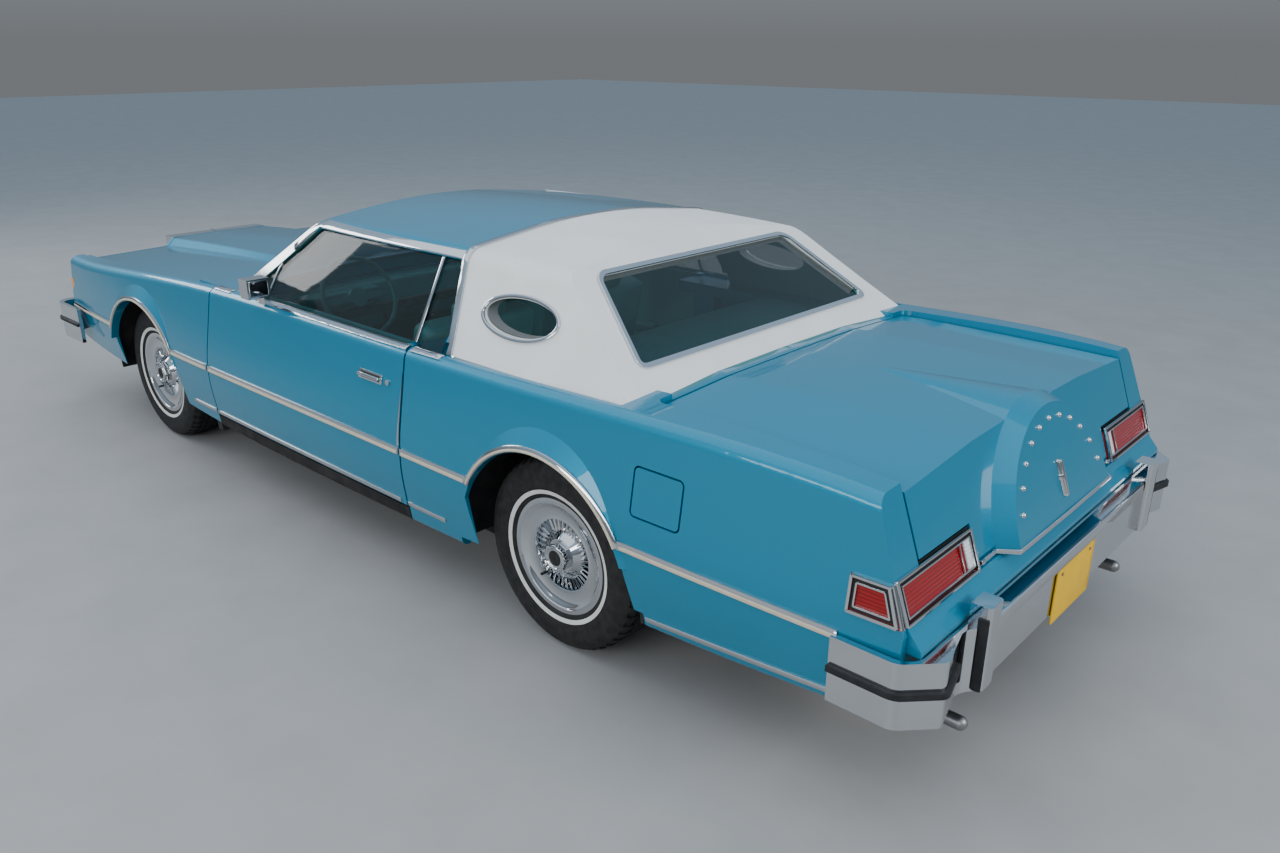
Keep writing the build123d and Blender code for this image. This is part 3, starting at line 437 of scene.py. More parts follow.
def makeCamera():
    yaw, pitch, roll = (math.radians(camera[key]) for key in ("yaw", "pitch", "roll"))
    ahead = Vector((math.cos(pitch) * math.cos(yaw), math.cos(pitch) * math.sin(yaw), math.sin(pitch)))
    side = Vector((math.sin(yaw), -math.cos(yaw), 0))
    up = side.cross(ahead)
    across = side * math.cos(roll) + up * math.sin(roll)
    upright = up * math.cos(roll) - side * math.sin(roll)
    deselectAll()
    bpy.ops.object.camera_add(location=camera["place"])
    eye = bpy.context.object
    eye.name = "photoCamera"
    turn = Matrix((across, upright, -ahead)).transposed()
    eye.rotation_euler = turn.to_euler()
    eye.data.sensor_fit = "HORIZONTAL"
    eye.data.sensor_width = 36
    eye.data.lens = camera["lens"]
    eye.data.clip_end = 200
    bpy.context.scene.camera = eye


lights = {
    "overhead": {"place": (0.5, 1.5, 9.0), "aim": (0, 0, 0), "size": (18.0, 14.0), "power": 560},
    "leftSide": {"place": (-1.5, 7.5, 3.2), "aim": (-0.3, 0, 0.6), "size": (8.0, 1.6), "power": 240},
    "tailSide": {"place": (-8.0, -0.5, 3.4), "aim": (-1.5, 0, 0.6), "size": (4.0, 1.6), "power": 200},
    "noseSide": {"place": (8.0, 2.5, 4.5), "aim": (1.0, 0, 0.6), "size": (4.0, 2.4), "power": 160},
}


def makeStudio():
    for name, light in lights.items():
        bpy.ops.object.light_add(type="AREA", location=light["place"])
        lamp = bpy.context.object
        lamp.name = name
        lamp.data.shape = "RECTANGLE"
        lamp.data.size, lamp.data.size_y = light["size"]
        lamp.data.energy = light["power"]
        lamp.rotation_euler = (Vector(light["aim"]) - lamp.location).to_track_quat("-Z", "Y").to_euler()
    world = bpy.data.worlds.new("softSky")
    world.use_nodes = True
    tree = world.node_tree
    coordinates = tree.nodes.new("ShaderNodeTexCoord")
    split = tree.nodes.new("ShaderNodeSeparateXYZ")
    ramp = rampOf(tree, (0.19, 0.20, 0.21), (0.46, 0.62, 0.80), 0.50, 0.74)
    span = tree.nodes.new("ShaderNodeMapRange")
    span.inputs["From Min"].default_value = -1
    tree.links.new(coordinates.outputs["Generated"], split.inputs["Vector"])
    tree.links.new(split.outputs["Z"], span.inputs["Value"])
    tree.links.new(span.outputs["Result"], ramp.inputs["Fac"])
    tree.links.new(ramp.outputs["Color"], tree.nodes["Background"].inputs["Color"])
    tree.nodes["Background"].inputs["Strength"].default_value = 0.9
    bpy.context.scene.world = world
    floorMaterial = makeRough("paleFloor", (0.34, 0.335, 0.325), (0.38, 0.37, 0.36), 0.6, 60, 0.0004)
    floor = made("studioFloor", bpy.ops.mesh.primitive_plane_add, size=80, location=(0, 0, 0))
    floor.data.materials.append(floorMaterial)


makeCamera()
makeStudio()
print("camera and studio made")


# ribbons laid on the body's surfaces

def ribbon(name, path, width):  # a flat strip of even width along a line, lying in its own plane
    count = len(path)
    piece = made(name, bpy.ops.mesh.primitive_grid_add, x_subdivisions=count - 1, y_subdivisions=1, size=1)
    order = sorted(piece.data.vertices, key=lambda v: (round(v.co.y, 4), v.co.x))
    flat = (path[-1] - path[0]).normalized()
    for corner in path:
        if (corner - path[0]).cross(flat).length > 1e-4:
            break
    across = (corner - path[0]).cross(flat)
    plane = across.normalized() if across.length > 1e-6 else Vector((0, 1, 0))
    for i, point in enumerate(path):
        back = (point - path[i - 1]).normalized() if i else (path[1] - point).normalized()
        ahead = (path[i + 1] - point).normalized() if i < count - 1 else back
        middle = (back + ahead).normalized()
        reach = plane.cross(middle) * (width / 2 / max(0.5, middle.dot(ahead)))
        order[i].co = point - reach
        order[count + i].co = point + reach
    return piece


def finely(path, step=0.035):  # more points along a line
    points = [path[0]]
    for start, end in zip(path, path[1:]):
        parts = max(1, math.ceil((end - start).length / step))
        points += [start.lerp(end, k / parts) for k in range(1, parts + 1)]
    return points


sideReach = (0.5, 1.035)  # how far out the car's side lies


def ontoSurface(piece, nodeName, axis="y", gap=0.0):  # presses a flat outline onto a solid
    wrap = piece.modifiers.new("wrap", "SHRINKWRAP")
    wrap.target = nodes[nodeName]
    wrap.offset = gap
    if axis == "nearest":
        wrap.wrap_method = "NEAREST_SURFACEPOINT"
    else:
        wrap.wrap_method = "PROJECT"
        setattr(wrap, "use_project_" + axis, True)
        wrap.use_negative_direction = True
        wrap.use_positive_direction = False
    applyAll(piece)
    if axis == "y":  # points that found no surface are left out
        drop(piece, "VERT", lambda point: not sideReach[0] < point.co.y < sideReach[1])


def outwards(piece, away):  # turns the faces so that they look away from a point
    edit(piece)
    bpy.ops.mesh.normals_make_consistent(inside=False)
    leaveEdit()
    facing = sum((p.center - away).dot(p.normal) * p.area for p in piece.data.polygons)
    if facing < 0:
        piece.data.flip_normals()


sink = 0.0005  # mouldings sit this deep in their panel
far = 1250  # strips start this far out and are pressed onto the side


def moulding(name, nodeName, path, width, depth, body, material, axis="y", away=(0, 0, 0.6)):
    piece = ribbon(name, finely(path), width)
    ontoSurface(piece, nodeName, axis, -sink)
    return walled(piece, away, depth, min(width, depth) * 0.3, body, material, False)


# side, arch and rocker mouldings

sideTrim = {"height": 565, "rockerWidth": 0.018, "rockerDepth": 0.005,
            "kinds": (("chrome", 0, 0, 0.030, 0.008, chrome),  # lower, inset, width, depth, finish
                      ("insert", 6, 8, 0.014, 0.0105, creamInsert))}
archTrim = {"hub": 355, "foot": 551, "steps": 32,
            "kinds": (("trim", 413, 0.022, 0.009, chrome),  # radius, width, depth, finish
                      ("insert", 409, 0.008, 0.011, creamInsert))}
sidePanels = (  # panel, the strip's rear and front end, body
    ("fender", 2087, 2752, "body"), ("fender", 972, 1354, "body"), ("door", -569, 955, "door_left"),
    ("quarter", -970, -581, "body"), ("quarter", -2478, -1704, "body"),
)
rockerPanels = (  # panel, x and height of the strip's ends, body
    ("fender", (971, 345), (1208, 345), "body"), ("door", (-569, 345), (955, 345), "door_left"),
    ("quarter", (-810, 345), (-581, 345), "body"), ("quarter", (-2462, 368), (-1762, 322), "body"),
)
archPanels = (("front", 1721, "fender"), ("rear", -1337, "quarter"))


def makeSideTrim():
    t = sideTrim
    for count, (panel, rear, front, body) in enumerate(sidePanels, 1):
        for kind, lower, inset, width, depth, material in t["kinds"]:
            path = [mm(x, far, t["height"] - lower) for x in (rear + inset, front - inset)]
            mirrored(moulding(f"side_trim_{kind}_{count}_left", panel + "_left", path, width, depth,
                              body, material))
    for count, (panel, rear, front, body) in enumerate(rockerPanels, 1):
        path = [mm(x, far, height) for x, height in (rear, front)]
        mirrored(moulding(f"rocker_trim_{count}_left", panel + "_left", path, t["rockerWidth"],
                          t["rockerDepth"], body, chrome))


def archPath(axle, radius):  # the arc over a wheel, down to the side trim
    first = math.asin((archTrim["foot"] - archTrim["hub"]) / radius)
    points = []
    for k in range(archTrim["steps"] + 1):
        angle = first + (math.pi - 2 * first) * k / archTrim["steps"]
        points.append(mm(axle + radius * math.cos(angle), far, archTrim["hub"] + radius * math.sin(angle)))
    return points


def makeArchTrim():
    for name, axle, panel in archPanels:
        for kind, radius, width, depth, material in archTrim["kinds"]:
            mirrored(moulding(f"arch_{kind}_{name}_left", panel + "_left", archPath(axle, radius),
                              width, depth, "body", material))


# window, roof and pillar trim

roofSplit = {"x": -775, "low": 940, "high": 1359, "lean": 110}  # where the vinyl roof begins
windowTrim = {
    "rail": ((738, 944), (344, 1276)), "railEnd": (1276, 22), "railWidth": 0.026, "depth": 0.006,
    "rear": ((1262, 22, 1266), (1000, 18, 1000), (975, 24, 975), (955, 44, 957), (955, 70, 949)),
    "rearWidth": 0.024, "beltOut": (0.886, 0.912), "beltLow": 0.9, "barFoot": 950, "barLow": 951,
    "bandWidth": 30, "bandLow": 952, "footHigh": 954,
}
backlight = {"slope": 35.5, "topX": -1120, "topZ": 1326, "round": 0.052, "width": 0.021, "depth": 0.007,
             "corners": ((-566, 92), (566, 92), (710, 520), (-710, 520))}
opera = {"place": (-1040, far, 1122), "long": 179.5, "tall": 61, "grow": (1.075, 1, 1.22), "depth": 0.010}
splitLean = roofSplit["lean"] / (roofSplit["high"] - roofSplit["low"])


def splitX(z):  # the vinyl roof's front edge at a height
    return roofSplit["x"] + (z - roofSplit["low"]) * splitLean


def makeWindowTrim():
    t = windowTrim
    top, ahead = t["railEnd"]
    rail = [mm(x, far, z) for x, z in t["rail"]] + [mm(splitX(top) + ahead, far, top)]
    mirrored(moulding("window_rail_trim_left", "roof", rail, t["railWidth"], t["depth"], "body", chrome))
    rear = [mm(splitX(z) + ahead, far, height) for z, ahead, height in t["rear"]]
    mirrored(moulding("window_rear_trim_left", "roof", rear, t["rearWidth"], t["depth"], "body", chrome))
    across = keepSpan("y", *t["beltOut"]) + keepSpan("z", t["beltLow"])
    for name, nodeName, body, rear, front in (("door", "door_left", "door_left", -570, 560),
                                              ("door_front", "door_left", "door_left", 800, 940),
                                              ("quarter", "quarter_left", "body", -752, -582)):
        cuts = keepSpan("x", mm(rear, 0, 0).x, mm(front, 0, 0).x) + across
        mirrored(skinStrip(f"belt_trim_{name}_left", nodeName, cuts, lambda c, n: n.z > 0.6, 0.007, 0.002,
                           body, chrome))
    for name, rear, front, lean in (("divider", -548, -532, 0.0), ("vent", 556, 568, 0.10)):
        away = Vector((1, 0, lean)).normalized()
        foot = t["barFoot"]
        cuts = ((mm(front, 0, foot), away), (mm(rear, 0, foot), -away), (mm(0, 0, t["barLow"]), (0, 0, -1)))
        mirrored(skinStrip(f"glass_{name}_bar_left", "door_glass_left", cuts, lambda c, n: n.y > 0.3,
                           0.007, 0.0015, "door_left", chrome))
    front = mm(roofSplit["x"] + t["bandWidth"], 0, roofSplit["low"])
    cuts = ((front, Vector((1, 0, -splitLean)).normalized()), (mm(0, 0, t["bandLow"]), (0, 0, -1)))
    piece = skinStrip(
        "roof_band", "roof", cuts,
        lambda c, n: n.dot(Vector((0, c.y, c.z - 0.7)).normalized()) > 0.55 and c.x < front.x + 0.2,
        0.006, 0.002, "body", chrome)
    for vertex in piece.data.vertices:  # the roof's crown stays the highest point
        vertex.co.z = min(vertex.co.z, cadBox[1].z - 0.0002)
    skinStrip("vinyl_foot_trim", "landau_roof", ((mm(0, 0, t["footHigh"]), (0, 0, 1)),),
              lambda c, n: n.dot(Vector((c.x + 0.9, c.y, 0)).normalized()) > 0.2,
              0.005, 0.0015, "body", chrome)


def ringPlate(name, corners, radius, width):  # a frame cut from a flat outline, or a plate
    piece = made(name, bpy.ops.mesh.primitive_circle_add, vertices=len(corners), fill_type="NGON")
    for vertex, corner in zip(piece.data.vertices, corners):
        vertex.co = corner
    edit(piece, "VERT")
    if radius:
        bpy.ops.mesh.bevel(offset=radius, segments=6, affect="VERTICES")
    if width:
        bpy.ops.mesh.select_mode(type="FACE")
        bpy.ops.mesh.select_all(action="SELECT")
        bpy.ops.mesh.inset(thickness=width)
        bpy.ops.mesh.delete(type="FACE")
    leaveEdit()
    return piece


def upright(x, inner, outer, low, high):  # the corners of an upright outline across the car
    return [Vector((x, y, z)) for y, z in ((inner, low), (outer, low), (outer, high), (inner, high))]


def framed(name, corners, radius, width, depth, body, material, away, edge=0.002):
    return walled(ringPlate(name, corners, radius, width), away, depth, edge, body, material, False)


def onBacklight(across, down):  # a point on the sloping rear face
    slope = math.radians(backlight["slope"])
    return mm(backlight["topX"] - down * math.cos(slope), across, backlight["topZ"] - down * math.sin(slope))


def makeGlassFrames():
    corners = [onBacklight(*corner) for corner in backlight["corners"]]
    piece = ringPlate("rear_window_trim", corners, backlight["round"], backlight["width"])
    walled(piece, (0, 0, 0.6), backlight["depth"], 0.002, "body", chrome)
    piece = made("opera_bezel_left", bpy.ops.mesh.primitive_circle_add, vertices=64, radius=1)
    for vertex in piece.data.vertices:
        long, tall = vertex.co.x * opera["long"], vertex.co.y * opera["tall"]
        vertex.co = mm(*opera["place"]) + Vector((long, 0, tall)) / 1000
    edit(piece, "EDGE")
    bpy.ops.mesh.extrude_edges_move()
    bpy.ops.transform.resize(value=opera["grow"], center_override=mm(*opera["place"]))
    leaveEdit()
    ontoSurface(piece, "landau_roof", "y", -0.001)
    mirrored(walled(piece, (-1.1, 0, 0.9), opera["depth"], 0.003, "body", chrome))


makeSideTrim()
makeArchTrim()
makeWindowTrim()
makeGlassFrames()
print("side, arch and window trim made")


# wheels and tyres

tyreShape = {  # radius and distance out of each ring, then the tread
    "rings": ((0.2035, 0.088), (0.212, 0.0965), (0.221, 0.1005), (0.230, 0.1035), (0.2305, 0.1052),
              (0.238, 0.1075), (0.2460, 0.1092), (0.2475, 0.1078), (0.250, 0.1096), (0.270, 0.1122),
              (0.290, 0.1128), (0.306, 0.1118), (0.318, 0.108), (0.331, 0.103), (0.3405, 0.097),
              (0.3475, 0.088), (0.3525, 0.076)),
    "ribs": ((0.0735, 0.0535), (0.0465, 0.0265), (0.0195, -0.0195), (-0.0265, -0.0465), (-0.0535, -0.0735)),
    "crown": 0.3543, "groove": 0.3465, "columns": 96, "slotDepth": 0.0045,
    "whiteFrom": 0.2303, "whiteTo": 0.2463,
}
onAxle = (math.pi / 2, 0, 0)  # turns a shape's own axis to lie across the car
wheelNames = ("front_left", "front_right", "rear_left", "rear_right")


def turned(name, rings, columns):  # a ring shape about the wheel's axle, outer side towards the car's left
    piece = settle(made(name, bpy.ops.mesh.primitive_circle_add, vertices=columns, radius=rings[0][0],
                        rotation=onAxle))
    edit(piece, "EDGE")
    bpy.ops.transform.translate(value=(0, rings[0][1], 0))
    for (radius, side), (nextRadius, nextSide) in zip(rings, rings[1:]):
        bpy.ops.mesh.extrude_edges_move()
        ratio = nextRadius / radius
        bpy.ops.transform.resize(value=(ratio, 1, ratio), center_override=(0, side, 0))
        bpy.ops.transform.translate(value=(0, nextSide - side, 0))
    leaveEdit()
    return piece


def wheelPlace(name):  # the right wheels show the same outer side to the right
    axle = frontAxle if "front" in name else rearAxle
    side = 1 if "left" in name else -1
    turn = Matrix.Identity(4) if side > 0 else Matrix.Rotation(math.pi, 4, "Z")
    return Matrix.Translation((axle, side * halfTrack, hubHeight)) @ turn


def onWheels(piece, name, material, angle=38, replacing=None):
    coated(piece, material, angle)
    for wheel in wheelNames:
        twin = copied(piece, f"{name}_{wheel}", "wheel_" + wheel, wheelPlace(wheel))
        if replacing:
            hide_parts(replacing + wheel)
    bpy.data.objects.remove(piece)


def makeTyres():
    shape = tyreShape
    shoulder = list(shape["rings"])
    rings = shoulder[:]
    for first, last in shape["ribs"]:
        rings += [(shape["crown"], first), (shape["crown"], last)]
        if last > -0.07:
            rings += [(shape["groove"], last - 0.0008), (shape["groove"], last - 0.0062)]
    rings += [(radius, -side) for radius, side in reversed(shoulder)]
    rings.append(shoulder[0])
    columns = shape["columns"]
    piece = turned("tyre", rings, columns)
    edit(piece, "VERT")
    bpy.ops.mesh.remove_doubles(threshold=0.00002)
    bpy.ops.mesh.normals_make_consistent(inside=False)
    leaveEdit()

    def onShoulder(face):  # every other face there becomes a slot
        radius = math.hypot(face.center.x, face.center.z)
        column = int((math.atan2(face.center.z, face.center.x) / math.tau + 1) * columns)
        return 0.336 < radius < 0.3545 and 0.056 < abs(face.center.y) < 0.1 and column % 2 == 0

    choose(piece, "FACE", onShoulder)
    bpy.ops.mesh.extrude_region_shrink_fatten(TRANSFORM_OT_shrink_fatten={"value": -shape["slotDepth"]})
    leaveEdit()
    piece.data.materials.append(tyreRubber)
    piece.data.materials.append(whiteBand)
    for face in piece.data.polygons:
        radius = math.hypot(face.center.x, face.center.z)
        if face.center.y > 0.09 and shape["whiteFrom"] < radius < shape["whiteTo"]:
            face.material_index = 1
    onWheels(piece, "tyre_detail", None, 30, "tyre_")


hub = {
    "capRadius": 0.052, "capOut": 0.1165, "capDepth": 0.034, "valve": (0.086, 0.089, -0.099),
    "middle": ((0.031, 0.1125), (0.028, 0.1153), (0.015, 0.1161), (0.001, 0.1165)),
    "dish": ((0.1965, 0.090), (0.1955, 0.0965), (0.191, 0.0952), (0.183, 0.0895), (0.171, 0.0845),
             (0.157, 0.0815), (0.145, 0.0802), (0.138, 0.0806), (0.1345, 0.0826), (0.132, 0.0818),
             (0.131, 0.078), (0.1305, 0.060)),
    "bead": ((0.2045, 0.089), (0.2045, 0.0945), (0.202, 0.0985), (0.1985, 0.0985), (0.196, 0.0955),
             (0.195, 0.089)),
}


def makeHubs():
    cap = settle(made("hub_cap", bpy.ops.mesh.primitive_cylinder_add, vertices=8, radius=hub["capRadius"],
                      depth=hub["capDepth"], rotation=onAxle,
                      location=(0, hub["capOut"] - hub["capDepth"] / 2, 0)))
    choose(cap, "FACE", lambda face: face.normal.y > 0.9)
    for inset, out in ((0.010, 0.004), (0.004, -0.006)):
        bpy.ops.mesh.inset(thickness=inset)
        bpy.ops.transform.translate(value=(0, out, 0))
    leaveEdit()
    soften(cap, 0.0018, 3)
    applyAll(cap)
    onWheels(cap, "hub_cap", chrome)
    for name, rings, columns, material, angle in (
        ("hub_middle", hub["middle"], 32, trimRubber, 38),
        ("cover_dish", hub["dish"], 96, chrome, 50),  # the smooth bowl round the fins
        ("rim_bead", hub["bead"], 72, chrome, 38),
    ):
        piece = turned(name, rings, columns)
        outwards(piece, Vector((0, -1, 0)))
        onWheels(piece, name, material, angle)
    stem = settle(made("valve_stem", bpy.ops.mesh.primitive_cylinder_add, vertices=16, radius=0.0052,
                       depth=0.026, rotation=onAxle, location=hub["valve"]))
    soften(stem, 0.0012)
    applyAll(stem)
    onWheels(stem, "valve_stem", trimRubber)


makeTyres()
makeHubs()
print("tyres and hubs made")


# blocks and rods

def boxed(name, low, high, edge, body, material, turn=0.0, segments=3, slotName=None):  # a softened block
    low, high = Vector(low), Vector(high)
    piece = made(name, bpy.ops.mesh.primitive_cube_add, size=1)
    bpy.ops.transform.resize(value=high - low)
    settle(piece)
    if turn:
        piece.data.transform(Matrix.Rotation(math.radians(turn), 4, "Y"))
    piece.data.transform(Matrix.Translation((low + high) / 2))
    soften(piece, edge, segments)
    applyAll(piece)
    return finishPiece(piece, body, material, slotName=slotName)


def rod(name, start, end, radius, body, material, columns=12):
    start, end = Vector(start), Vector(end)
    piece = settle(made(name, bpy.ops.mesh.primitive_cylinder_add, vertices=columns, radius=radius,
                        depth=(end - start).length))
    piece.data.transform((end - start).to_track_quat("Z", "Y").to_matrix().to_4x4())
    piece.data.transform(Matrix.Translation((start + end) / 2))
    return finishPiece(piece, body, material)


# the tail

tailLow = 640  # the foot of the slanted tail, and its x
tailFoot = -2650
tailLean = math.radians(20)
tailOut = Vector((-math.cos(tailLean), 0, math.sin(tailLean)))
tailInside = (-2.0, 0, 0.6)  # a point in the boot


def onTail(across, height, out=0.0):  # a point on the slanted tail, out in metres
    return mm(tailFoot + math.tan(tailLean) * (height - tailLow), across, height) + tailOut * out


lampFrame = {"inner": 523, "outer": 938, "low": 641, "high": 760, "sideFront": -2494, "sideRear": -2643,
             "sideLow": 644, "sideHigh": 746, "reverse": 598, "lensInset": 22, "divider": 4,
             "postFoot": (-2.7235, 0.9465, 0.642), "postTop": (-2.685, 0.9385, 0.749), "postRadius": 0.0065,
             "capCorners": ((524, 748.5), (806, 748.5), (806, 762), (524, 762)), "capDepth": -0.040}


def lampCorners(inset, inner=lampFrame["inner"], outer=lampFrame["outer"]):
    first, last = inner + inset, outer - inset
    low, high = lampFrame["low"] + inset, lampFrame["high"] - inset
    return [onTail(y, z, 0.0005) for y, z in ((first, low), (last, low), (last, high), (first, high))]


def makeLampFrames():
    t = lampFrame
    away = (-2.0, 0.7, 0.6)
    for name, inset, radius, width, depth, material in (
        ("lamp_outer_frame_left", 0, 0.006, 0.008, 0.011, chrome),
        ("lamp_black_gap_left", 8, 0.003, 0.009, 0.003, trimRubber),
        ("lamp_inner_frame_left", 17, 0.003, 0.005, 0.009, chrome),
    ):
        mirrored(framed(name, lampCorners(inset), radius, width, depth, "body", material, away, 0.0012))
    inset, middle = t["lensInset"], t["reverse"]
    corners = lampCorners(inset, outer=middle)
    mirrored(framed("reverse_lens_left", corners, 0.002, 0, 0.006, "body", clearLens, away, 0.001))
    corners = lampCorners(inset, middle - inset, middle + inset + t["divider"])
    mirrored(framed("lamp_divider_left", corners, 0, 0, 0.0075, "body", chrome, away, 0.001))
    lean = math.tan(tailLean)
    for name, inset, width, depth, material in (
        ("lamp_side_frame_left", 0, 0.008, 0.009, chrome),
        ("lamp_side_gap_left", 8, 0.008, 0.003, trimRubber),
        ("lamp_side_inner_left", 16, 0.005, 0.007, chrome),
    ):
        low, high = t["sideLow"] + inset, t["sideHigh"] - inset
        front, rear = t["sideFront"] - inset, t["sideRear"] + inset
        corners = [mm(front, far, low), mm(rear + lean * (low - tailLow), far, low),
                   mm(rear + lean * (high - tailLow), far, high), mm(front, far, high)]
        piece = ringPlate(name, corners, 0.006, width)
        ontoSurface(piece, "tail_lamps", "y", 0.0003)
        if inset == 0:
            edit(piece)
            bpy.ops.transform.resize(value=(1.02, 1, 1.05), center_override=(-2.64, 0, 0.695))
            leaveEdit()
        mirrored(walled(piece, (-2.4, 0, 0.6), depth, 0.001, "body", material, False))


def makeLampCorners():
    t = lampFrame
    mirrored(rod("lamp_corner_left", t["postFoot"], t["postTop"], t["postRadius"], "body", chrome))
    for side, name in sides:  # a dark lid over each lamp
        corners = [onTail(y * side, z, -0.004) for y, z in t["capCorners"]]
        framed("lamp_cap_" + name, corners, 0, 0, t["capDepth"], "body", trimRubber, tailInside, 0)


hump = {
    "height": 628, "studs": 11, "studRadius": 312, "firstStud": 18, "studSize": 0.009, "depth": 0.054,
    "ornament": (  # half width, height, depth, place, narrowing below
        (0.013, 0.118, 0.010, 740, 0.72), (0.009, 0.124, 0.015, 740, 0.72), (0.017, 0.020, 0.013, 744, 1.0)),
}


def makeHumpTrim():
    slant = Matrix.Rotation(tailLean, 4, "Y")
    first = hump["firstStud"]
    for k in range(hump["studs"]):
        angle = math.radians(first + (180 - 2 * first) * k / (hump["studs"] - 1))
        height = hump["height"] + math.sin(angle) * hump["studRadius"] * math.cos(tailLean)
        place = onTail(math.cos(angle) * hump["studRadius"], height, hump["depth"])
        stud = settle(made(f"hump_stud_{k + 1}", bpy.ops.mesh.primitive_uv_sphere_add, segments=16,
                           ring_count=8, radius=hump["studSize"]))
        drop(stud, "FACE", lambda face: face.center.x > 0)
        stud.data.transform(Matrix.Translation(place) @ slant)
        finishPiece(stud, "trunk_lid", chrome)
    for k, (half, tall, out, height, narrow) in enumerate(hump["ornament"]):
        bar = made(f"hump_ornament_{k + 1}", bpy.ops.mesh.primitive_cube_add, size=1)
        bpy.ops.transform.resize(value=(out, half * 2, tall))
        settle(bar)
        for vertex in bar.data.vertices:
            if vertex.co.z < 0:
                vertex.co.y *= narrow
            if vertex.co.x < 0:
                vertex.co.y *= 0.7
                vertex.co.z *= 0.9
        bar.data.transform(Matrix.Translation((-out / 2, 0, 0)))
        bar.data.transform(Matrix.Translation(onTail(0, height, hump["depth"])) @ slant)
        soften(bar, 0.0018, 3)
        applyAll(bar)
        finishPiece(bar, "trunk_lid", chrome)


lidStrip = {"height": 655, "width": 0.008, "depth": 0.014, "proud": 0.004,
            "path": ((-508, 0), (-404, 0), (-362, 0.052), (0, 0.054), (362, 0.052), (404, 0), (508, 0)),
            "end": ((508, 649), (486, 649), (486, 661), (508, 661)), "endDepth": 0.012}


def makeLidStrip():
    t = lidStrip
    path = []
    for across, out in t["path"]:
        point = onTail(across, t["height"])
        point.x -= out / math.cos(tailLean) + t["proud"]
        path.append(point)
    piece = ribbon("lid_strip", path, t["width"])
    outwards(piece, Vector((-2.7, 0, 0)))
    thicken(piece, t["depth"], 0.0)
    soften(piece, 0.0022, 3)
    applyAll(piece)
    finishPiece(piece, "trunk_lid", chrome)
    for side, name in sides:
        corners = [onTail(side * y, z, 0.0005) for y, z in t["end"]]
        framed("lid_strip_end_" + name, corners, 0.002, 0, t["endDepth"], "trunk_lid", chrome, tailInside)


numberPlate = {"outline": (-0.155, 0.155, 0.336, 0.522), "back": -2.8225, "round": 0.010,
               "screws": ((-0.115, 0.500), (0.115, 0.500)), "screwOut": 0.0052,
               "screwHalf": Vector((0.002, 0, 0)),
               "bracket": ((-2.8215, -0.10, 0.337), (-2.7995, 0.10, 0.367))}


def makePlate():
    p = numberPlate
    for name, out, width, depth, edge in (("number_plate", 0.001, 0, 0.0025, 0.0006),
                                          ("number_plate_rim", 0.0036, 0.004, 0.0012, 0.0004)):
        corners = upright(p["back"] - out, *p["outline"])
        framed(name, corners, p["round"], width, depth, "body", plateYellow, (0, 0, 0.5), edge)
    for k, (y, z) in enumerate(p["screws"]):
        place = Vector((p["back"] - p["screwOut"], y, z))
        rod(f"plate_screw_{k + 1}", place - p["screwHalf"], place + p["screwHalf"], 0.005, "body", steel)
    boxed("plate_bracket", *p["bracket"], 0.002, "body", underbody, segments=2)


bumperTrim = {  # low, high and depth, then where each begins and ends
    "roll": (0.530, 0.569, 0.010), "rollHalf": 0.600,
    "rubber": (0.468, 0.486, 0.012), "rubberEnd": 2.45, "rubberInner": 0.755,
    "guard": (0.33, 0.60, 0.005), "guardSpan": (2.812, 2.842), "guardSide": (0.6, 0.7),
}


def makeBumperTrim():
    t = bumperTrim
    for name, sign in (("rear", -1), ("front", 1)):
        nodeName = name + "_bumper"
        low, high, depth = t["roll"]
        cuts = keepSpan("z", low, high) + keepSpan("y", -t["rollHalf"], t["rollHalf"])
        skinStrip(f"{name}_bumper_roll", nodeName, cuts, lambda c, n: n.x * sign > 0.7, depth, 0.004,
                  "body", chrome)
        for side, label in sides:
            low, high, depth = t["rubber"]
            cuts = keepSpan("z", low, high) + [((sign * t["rubberEnd"], 0, 0), (-sign, 0, 0)),
                                               ((0, side * t["rubberInner"], 0), (0, -side, 0))]
            skinStrip(f"{name}_bumper_rubber_{label}", nodeName, cuts,
                      lambda c, n: n.dot(Vector((c.x - sign * 2.0, c.y * 0.6, 0)).normalized()) > 0.2,
                      depth, 0.003, "body", trimRubber)
            low, high, depth = t["guard"]
            inner, outer = t["guardSpan"]
            cuts = [((sign * outer, 0, 0), (sign, 0, 0)), ((sign * inner, 0, 0), (-sign, 0, 0))]
            near, away = t["guardSide"]
            skinStrip(f"{name}_guard_rubber_{label}", nodeName, cuts + keepSpan("z", low, high),
                      lambda c, n: n.y * side > 0.8 and near < c.y * side < away, depth, 0.001,
                      "body", trimRubber)


makeLampFrames()
makeLampCorners()
makeHumpTrim()
makeLidStrip()
makePlate()
makeBumperTrim()
print("tail trim made")


# sides and front

handle = {"height": 806, "lock": (-474, 950), "lockRadius": 0.011,  # rear end, front end, width, depth
          "plate": (-437, -283, 0.037, 0.005), "recess": (-424, -296, 0.024, 0.0062),
          "grip": (-430, -290, 0.012, 0.020), "edgeX": -0.6345, "edgeLow": 0.585, "edgeHigh": 0.905}
roofTrim = {
    "seam": ((-1.165, 0.605, 1.30), (-1.27, 0.655, 1.25), (-1.34, 0.69, 1.20), (-1.49, 0.745, 1.10),
             (-1.63, 0.80, 1.00), (-1.70, 0.83, 0.955)),
    "seamWidth": 0.011, "surroundWidth": 0.020, "depth": 0.004,
    "surround": ((0.905, 0.748, 0.947), (0.372, 0.618, 1.302), (0.372, -0.618, 1.302),
                 (0.905, -0.748, 0.947)),
}
wiper = {"first": (0.886, 0.05, 0.974), "last": (0.878, 0.53, 0.974), "rise": (0.004, 0, 0.008),
         "foot": (0.935, 0.60, 0.952), "rightShift": -0.61}
